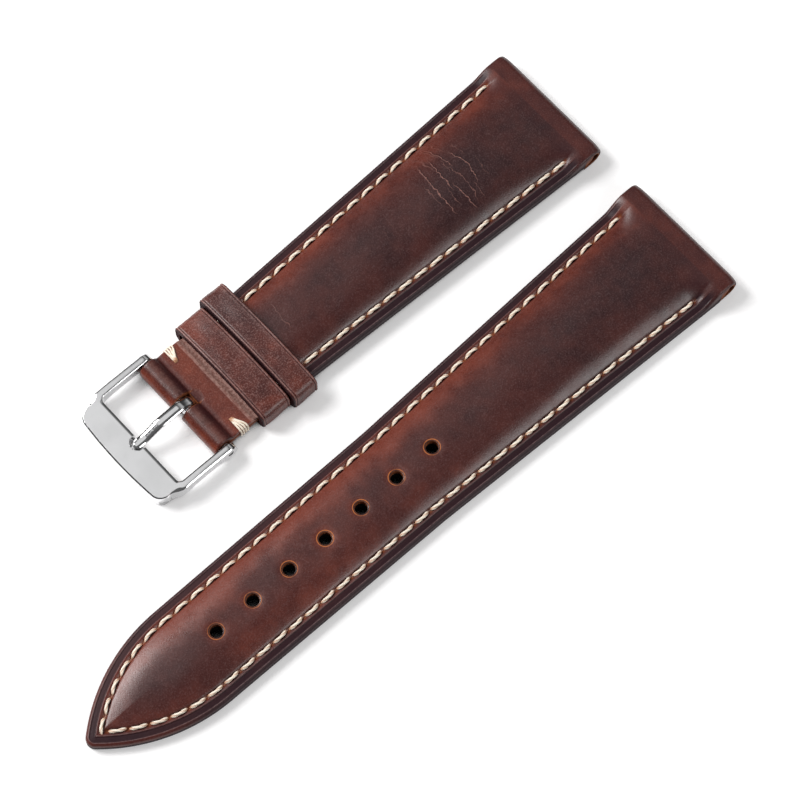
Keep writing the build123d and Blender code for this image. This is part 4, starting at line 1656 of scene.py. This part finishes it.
        upper = np.stack([self.lug_x - place, self.centre_y + off, top], -1)
        lower = np.stack([self.lug_x - place, self.centre_y + off, bottom], -1)
        piece = Shell("buckle_frame_steel", upper, lower, crease_angle=34).build()
        self.bore_eyes(piece)
        dress(piece, finishes.steel, Slot.STEEL, "buckle_frame", "buckle_frame")

    def bore_eyes(self, piece: Piece) -> None:
        """Bore the hole for the spring bar's tip through both eyes."""
        deselect()
        bpy.ops.mesh.primitive_cylinder_add(
            vertices=32, radius=self.pin_radius * MM, depth=3 * self.arm_outer * MM,
            location=((self.lug_x - self.bar_place) * MM, self.centre_y * MM, self.bar_z * MM),
            rotation=(math.pi / 2, 0, 0),
        )
        drill = bpy.context.object
        modify(piece, "BOOLEAN", object=drill, operation="DIFFERENCE", solver="EXACT", use_self=True)
        bpy.data.objects.remove(drill)
        soften(piece, 34)


@dataclass
class Tongue:
    """Tongue rolled round the spring bar, with a raised flat, an S-bend and a rounded tip."""

    lug_x: float
    centre_y: float
    bar_place: float
    bar_z: float
    half: float = 0.8
    thickness: float = 0.8
    roll: float = 1.5
    bore: float = 0.86
    flat_z: float = 3.95
    tip_z: float = 2.9
    tip_place: float = 84.5
    edge_wide: float = 0.3
    edge_fall: float = 0.19

    def build(self, finishes: Finishes) -> None:
        """Build and dress the tongue."""
        bar, z = self.bar_place, self.bar_z
        blade = 1 - (1 - np.linspace(0, 1, 90)) ** 1.25
        place = bar + 0.5 + (self.tip_place - bar - 0.5) * blade
        ahead = (0, 0.6, 1.2, 2.0, 3.8, 5.3, 6.6, 7.9, 8.9)
        heights = (z + self.roll, 3.74, 3.91, 3.95, self.flat_z, 3.84, 3.42, 3.0, self.tip_z)
        stations = [(bar + step, height) for step, height in zip(ahead, heights)]
        top = smooth_between(place, [*stations, (self.tip_place, self.tip_z - 0.02)])
        slope = np.gradient(top, place)
        lean = np.stack([-slope, np.ones_like(slope)], 1) / np.sqrt(1 + slope**2)[:, None]
        thick = self.thickness * (1 - 0.12 * smooth_step(place, bar + 4, self.tip_place))
        under = np.stack([place, top], 1) - lean * thick[:, None]
        roll_turn = np.radians(np.linspace(300, 96, 40))
        roll_out, roll_in = (circle((bar, z), radius, roll_turn) for radius in (self.roll, self.bore))
        keep = roll_turn > math.radians(97)
        outer_line = np.concatenate([roll_out[keep], np.stack([place, top], 1)])
        inner_line = np.concatenate([roll_in[keep], under])
        near = self.edge_wide * np.array([0, 0.06, 0.2, 0.42, 0.7, 1])
        off = np.concatenate([self.half - near, [0.2, 0, -0.2], near[::-1] - self.half])
        gap = self.half - np.abs(off)
        tip_gap = self.tip_place - outer_line[:, 0]
        narrow = 1 - 0.06 * smooth_step(outer_line[:, 0], bar + 4.5, self.tip_place - 0.8)
        end = self.half * narrow
        narrow = narrow * np.where(tip_gap < end, np.sqrt(np.clip(1 - (1 - tip_gap / end) ** 2, 0.01, 1)), 1)
        bevel = BuckleFrame.chamfer(gap, self.edge_wide, self.edge_fall)
        drop = bevel[:, None] + round_drop(np.clip(tip_gap, 0, 9), 0.36)[None, :]
        away = outer_line - inner_line
        away /= np.hypot(*away.T)[:, None]
        upper = outer_line[None] - away[None] * drop[..., None]
        lower = inner_line[None] + away[None] * (0.5 * round_drop(gap, 0.2))[:, None, None]
        y = self.centre_y + off[:, None] * narrow[None, :]
        outer = np.stack([self.lug_x - upper[..., 0], y, upper[..., 1]], -1)
        inner = np.stack([self.lug_x - lower[..., 0], y, lower[..., 1]], -1)
        piece = Shell("buckle_tongue_steel", outer, inner, crease_angle=50).build()
        dress(piece, finishes.steel, Slot.STEEL, "buckle_tongue", "buckle_tongue")


@dataclass
class Studio:
    """White table, soft lamps and the camera at the photograph's angle."""

    azimuth: float = -42.21
    elevation: float = 68.19
    distance: float = 500.0
    target: tuple[float, float, float] = (9.50, -5.09, 0.0)
    lens: float = 151.41
    sensor: float = 36.0
    scrim: tuple[float, float] = (0.03, 0.33)
    scrim_reach: tuple[float, float] = (0.34, 0.18)

    def camera(self) -> None:
        """Set the camera up and make it the scene's."""
        a, e = math.radians(self.azimuth), math.radians(self.elevation)
        back = Vector((math.sin(a) * math.cos(e), -math.cos(a) * math.cos(e), math.sin(e)))
        deselect()
        bpy.ops.object.camera_add(location=(Vector(self.target) + back * self.distance) * MM)
        camera = bpy.context.object
        camera.name = "photograph_camera"
        camera.rotation_mode = "QUATERNION"
        camera.rotation_quaternion = (-back).to_track_quat("-Z", "Y")
        camera.data.lens = self.lens
        camera.data.sensor_width = self.sensor
        camera.data.clip_start, camera.data.clip_end = 0.01, 10
        bpy.context.scene.camera = camera

    def floor(self) -> None:
        """Lay the white table under the strap."""
        deselect()
        bpy.ops.mesh.primitive_plane_add(size=3, location=(0, 0, -0.02 * MM))
        table = bpy.context.object
        table.name = "table"
        material, tree, _ = new_material("white_table")
        path = add_node(tree, "ShaderNodeLightPath")
        seen = maths(tree, "ADD", (path, "Is Camera Ray"), (path, "Is Glossy Ray"))
        seen = maths(tree, "MINIMUM", maths(tree, "ADD", seen, (path, "Is Transmission Ray")), 1.0)
        # Painted shade: the table's colour and glow fall to black where the strap closes round it, as inside
        # the size holes.
        shade = add_node(tree, "ShaderNodeAmbientOcclusion", {"Distance": 4 * MM}, samples=8)
        open_share = spread(tree, (shade, "AO"), 0.12, 0.5)
        seen = maths(tree, "MULTIPLY", seen, open_share)
        shaded = blend_colours(tree, open_share, "#000000", "#ecebeb")
        white = add_node(tree, "ShaderNodeBsdfDiffuse", {"Color": shaded})
        strength = maths(tree, "MULTIPLY", seen, 0.3)
        glow = add_node(tree, "ShaderNodeEmission", {"Color": linear("#ffffff"), "Strength": strength})
        both = add_node(tree, "ShaderNodeAddShader", {0: (white, 0), 1: (glow, 0)})
        close_material(tree, both)
        table.data.materials.append(material)

    def lamp(self, name: str, place: tuple[float, float, float], size: float, power: float) -> None:
        """Hang one square soft lamp that faces the strap.

        Args:
            name: Name of the lamp.
            place: Where it hangs, in millimetres.
            size: Length of its side, in millimetres.
            power: Its power in watts.
        """
        deselect()
        bpy.ops.object.light_add(type="AREA", location=Vector(place) * MM)
        lamp = bpy.context.object
        lamp.name = name
        lamp.rotation_mode = "QUATERNION"
        lamp.rotation_quaternion = (Vector(self.target) - Vector(place)).to_track_quat("-Z", "Y")
        lamp.data.size = size * MM
        lamp.data.energy = power

    def world(self) -> None:
        """Surround the strap with a studio that is dark near the horizon, with a pale scrim overhead."""
        world = bpy.data.worlds.new("studio")
        bpy.context.scene.world = world
        world.use_nodes = True
        tree = world.node_tree
        tree.nodes.clear()
        direction = add_node(tree, "ShaderNodeTexCoord")
        split = add_node(tree, "ShaderNodeSeparateXYZ", {0: (direction, "Generated")})
        level = spread(tree, (split, "Z"), 0.2, 0.85, (0.03, 0.12))
        reach = 0.0
        for axis, middle, half in zip("XY", self.scrim, self.scrim_reach):
            away = maths(tree, "DIVIDE", maths(tree, "SUBTRACT", (split, axis), middle), half)
            reach = maths(tree, "MULTIPLY_ADD", away, away, reach)
        level = maths(tree, "ADD", level, spread(tree, maths(tree, "SQRT", reach), 0.7, 1.0, (0.7, 0)))
        beyond = spread(tree, (split, "X"), 0.38, 0.6, (0, 0.4))
        beyond = maths(tree, "MULTIPLY", beyond, spread(tree, (split, "Z"), 0.4, 0.7))
        level = maths(tree, "ADD", level, beyond)
        sky = add_node(tree, "ShaderNodeBackground", {"Color": linear("#ffffff"), "Strength": level})
        add_node(tree, "ShaderNodeOutputWorld", {"Surface": (sky, 0)})

    def build(self) -> None:
        """Build the studio."""
        self.camera()
        self.floor()
        self.lamp("key_softbox", (-165, 365, 368), 270, 3.45)
        self.lamp("fill_softbox", (122, -365, 243), 220, 0.82)
        self.world()
        bpy.context.scene.view_settings.view_transform = "Standard"


def middle_of(node: str) -> Vector:
    """Middle of a CAD node's box, in millimetres."""
    low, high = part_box(node)
    return (low + high) / 2 / MM


def make_finishes(lug_x: float, long_y: float) -> Finishes:
    """Build every finish once.

    Args:
        lug_x: Where the lug ends lie along X.
        long_y: Where the long piece's centre line lies along Y.

    Returns:
        The finishes.
    """
    creases = (
        Crease(41.7, 15.4, 3.9, 0, -0.075),
        Crease(39.4, 19.1, 2.9, -0.22, -0.03, 0.8),
        Crease(39.7, 13.4, 4.2, 0.02, -0.05, 0.6),
        Crease(37.5, 16.6, 3.6, 0.06),
        Crease(38.0, 11.6, 3.0, -0.03),
        Crease(35.2, 15.2, 5.6, 0.08, 0.01),
        Crease(34.2, 14.8, 2.4, 0.05, 0, 0.45),
        Crease(36.5, 12.6, 1.9, 0.1, 0, 0.5),
        Crease(40.3, 10.9, 1.8, 0.1, 0, 0.5),
        Crease(36.7, 20.2, 2.4, -0.3, 0, 0.35),
        Crease(43.2, 13.6, 2.2, 0.2, 0, 0.25),
        Crease(4.3, 15.7, 3.1, 0.058, 0.045, 0.45),
        Crease(26.5, 16.8, 2.6, 0.2, 0.05, 0.12),
        Crease(24.6, 13.5, 3.0, 0.1, 0, 0.1),
        Crease(38.7, 20.4, 1.7, -0.3, 0, 0.4),
        Crease(40.2, 20.6, 1.5, -0.35, 0, 0.35),
        Crease(37.0, 19.2, 1.6, -0.1, 0, 0.35),
        Crease(39.0, 17.2, 1.6, 0.1, 0, 0.4),
        Crease(42.4, 18.0, 1.6, -0.2, 0, 0.3),
    )
    return Finishes(
        leather=WaxedLeather(
            creases=creases, holes=(lug_x - FIRST_HOLE_PLACE, long_y, HOLE_PITCH, HOLE_COUNT)
        ).build(),
        band=WaxedLeather(
            name="waxed_oxblood_band", split="#b39590", contrast=0.7, gloss=0.36, relief=0.28, fleck=0.22
        ).build(),
        tail=WaxedLeather(
            name="waxed_oxblood_tail", deep="#341714", body="#58241b", pulled="#7c3622", split="#b08a80",
            contrast=0.75, relief=0.22, fleck=0.14,
        ).build(),
        lining=SplitLeather("brown_lining_calf", "#7a4a32", "#5a3322").build(),
        padding=SplitLeather("split_leather_filler", "#a98667", "#86654a").build(),
        raw=SplitLeather("raw_punched_edge", "#a85f34", "#5e2c14", 0.2, 0.6, "#150b0a", 2.45).build(),
        thread=WaxedThread().build(),
        steel=Steel("polished_stainless_steel", gloss=0.12).build(),
        turned=Steel("turned_stainless_steel", "#b9b8b6", 0.24, 0.08).build(),
    )


def main() -> None:
    """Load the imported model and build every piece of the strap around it."""
    logging.basicConfig(level=logging.INFO, format="%(name)s %(message)s")
    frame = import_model()
    form = StrapForm()
    long_low, long_high = (Vector(corner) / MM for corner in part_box("long_top_leather"))
    short_low, short_high = (Vector(corner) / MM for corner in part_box("short_top_leather"))
    lug_x = long_high.x
    lug_half = (long_high.y - long_low.y) / 2
    short_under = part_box("short_lining")[0].z / MM
    bar = middle_of("bar_tube")
    bar_place = lug_x - bar.x
    long_y = (long_low.y + long_high.y) / 2
    finishes = make_finishes(lug_x, long_y)
    Studio().build()
    long_piece = PaddedPiece(
        form, "long", "long_strap", lug_x, lug_half, long_y, 0.0, lug_x - long_low.x, 0.0,
        [(0, 3.3), (3.6, 3.62), (12.6, 3.9), (34.6, 3.7), (57.6, 3.3), (98.6, 3.0), (118.6, 2.75)],
        tip_start=98.6, hole_places=HOLE_PLACES,
    )
    short_piece = PaddedPiece(
        form, "short", "short_strap", lug_x, lug_half, (short_low.y + short_high.y) / 2, short_under,
        lug_x - short_low.x, 8.75,
        [(0, 2.8), (3.6, 3.0), (12.6, 3.7), (34.6, 3.55), (57.6, 3.1), (67.0, 2.8)],
    )
    for piece in (long_piece, short_piece):
        piece.build(finishes)
        Seam(piece).build(finishes)
    tail_low, tail_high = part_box("tail_fold")
    tail = TailFold(
        lug_x, short_piece.centre_y, bar_place, bar.z, short_piece.end_place,
        (tail_high.y - tail_low.y) / 2 / MM, short_under,
    )
    tail.build(finishes)
    BarTack(tail).build(finishes)
    Keeper("fixed_keeper", "short_strap", wear=0.12).build(finishes)
    Keeper("free_keeper", "free_keeper").build(finishes)
    buckle_low, buckle_high = (Vector(corner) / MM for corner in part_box("buckle_frame"))
    BuckleFrame(
        lug_x, short_piece.centre_y, bar_place, bar.z, lug_x - buckle_low.x,
        (buckle_high.y - buckle_low.y) / 2,
    ).build(finishes)
    Tongue(lug_x, short_piece.centre_y, bar_place, bar.z).build(finishes)
    for node in ("bar_tube", "bar_tip_left", "bar_tip_right", "bar_spring"):
        carried = frame["nodes"][node]
        carried.data.materials.clear()
        carried.data.materials.append(finishes.turned)
        log.info("%s keeps its shape", node)


if __name__ == "__main__":
    main()
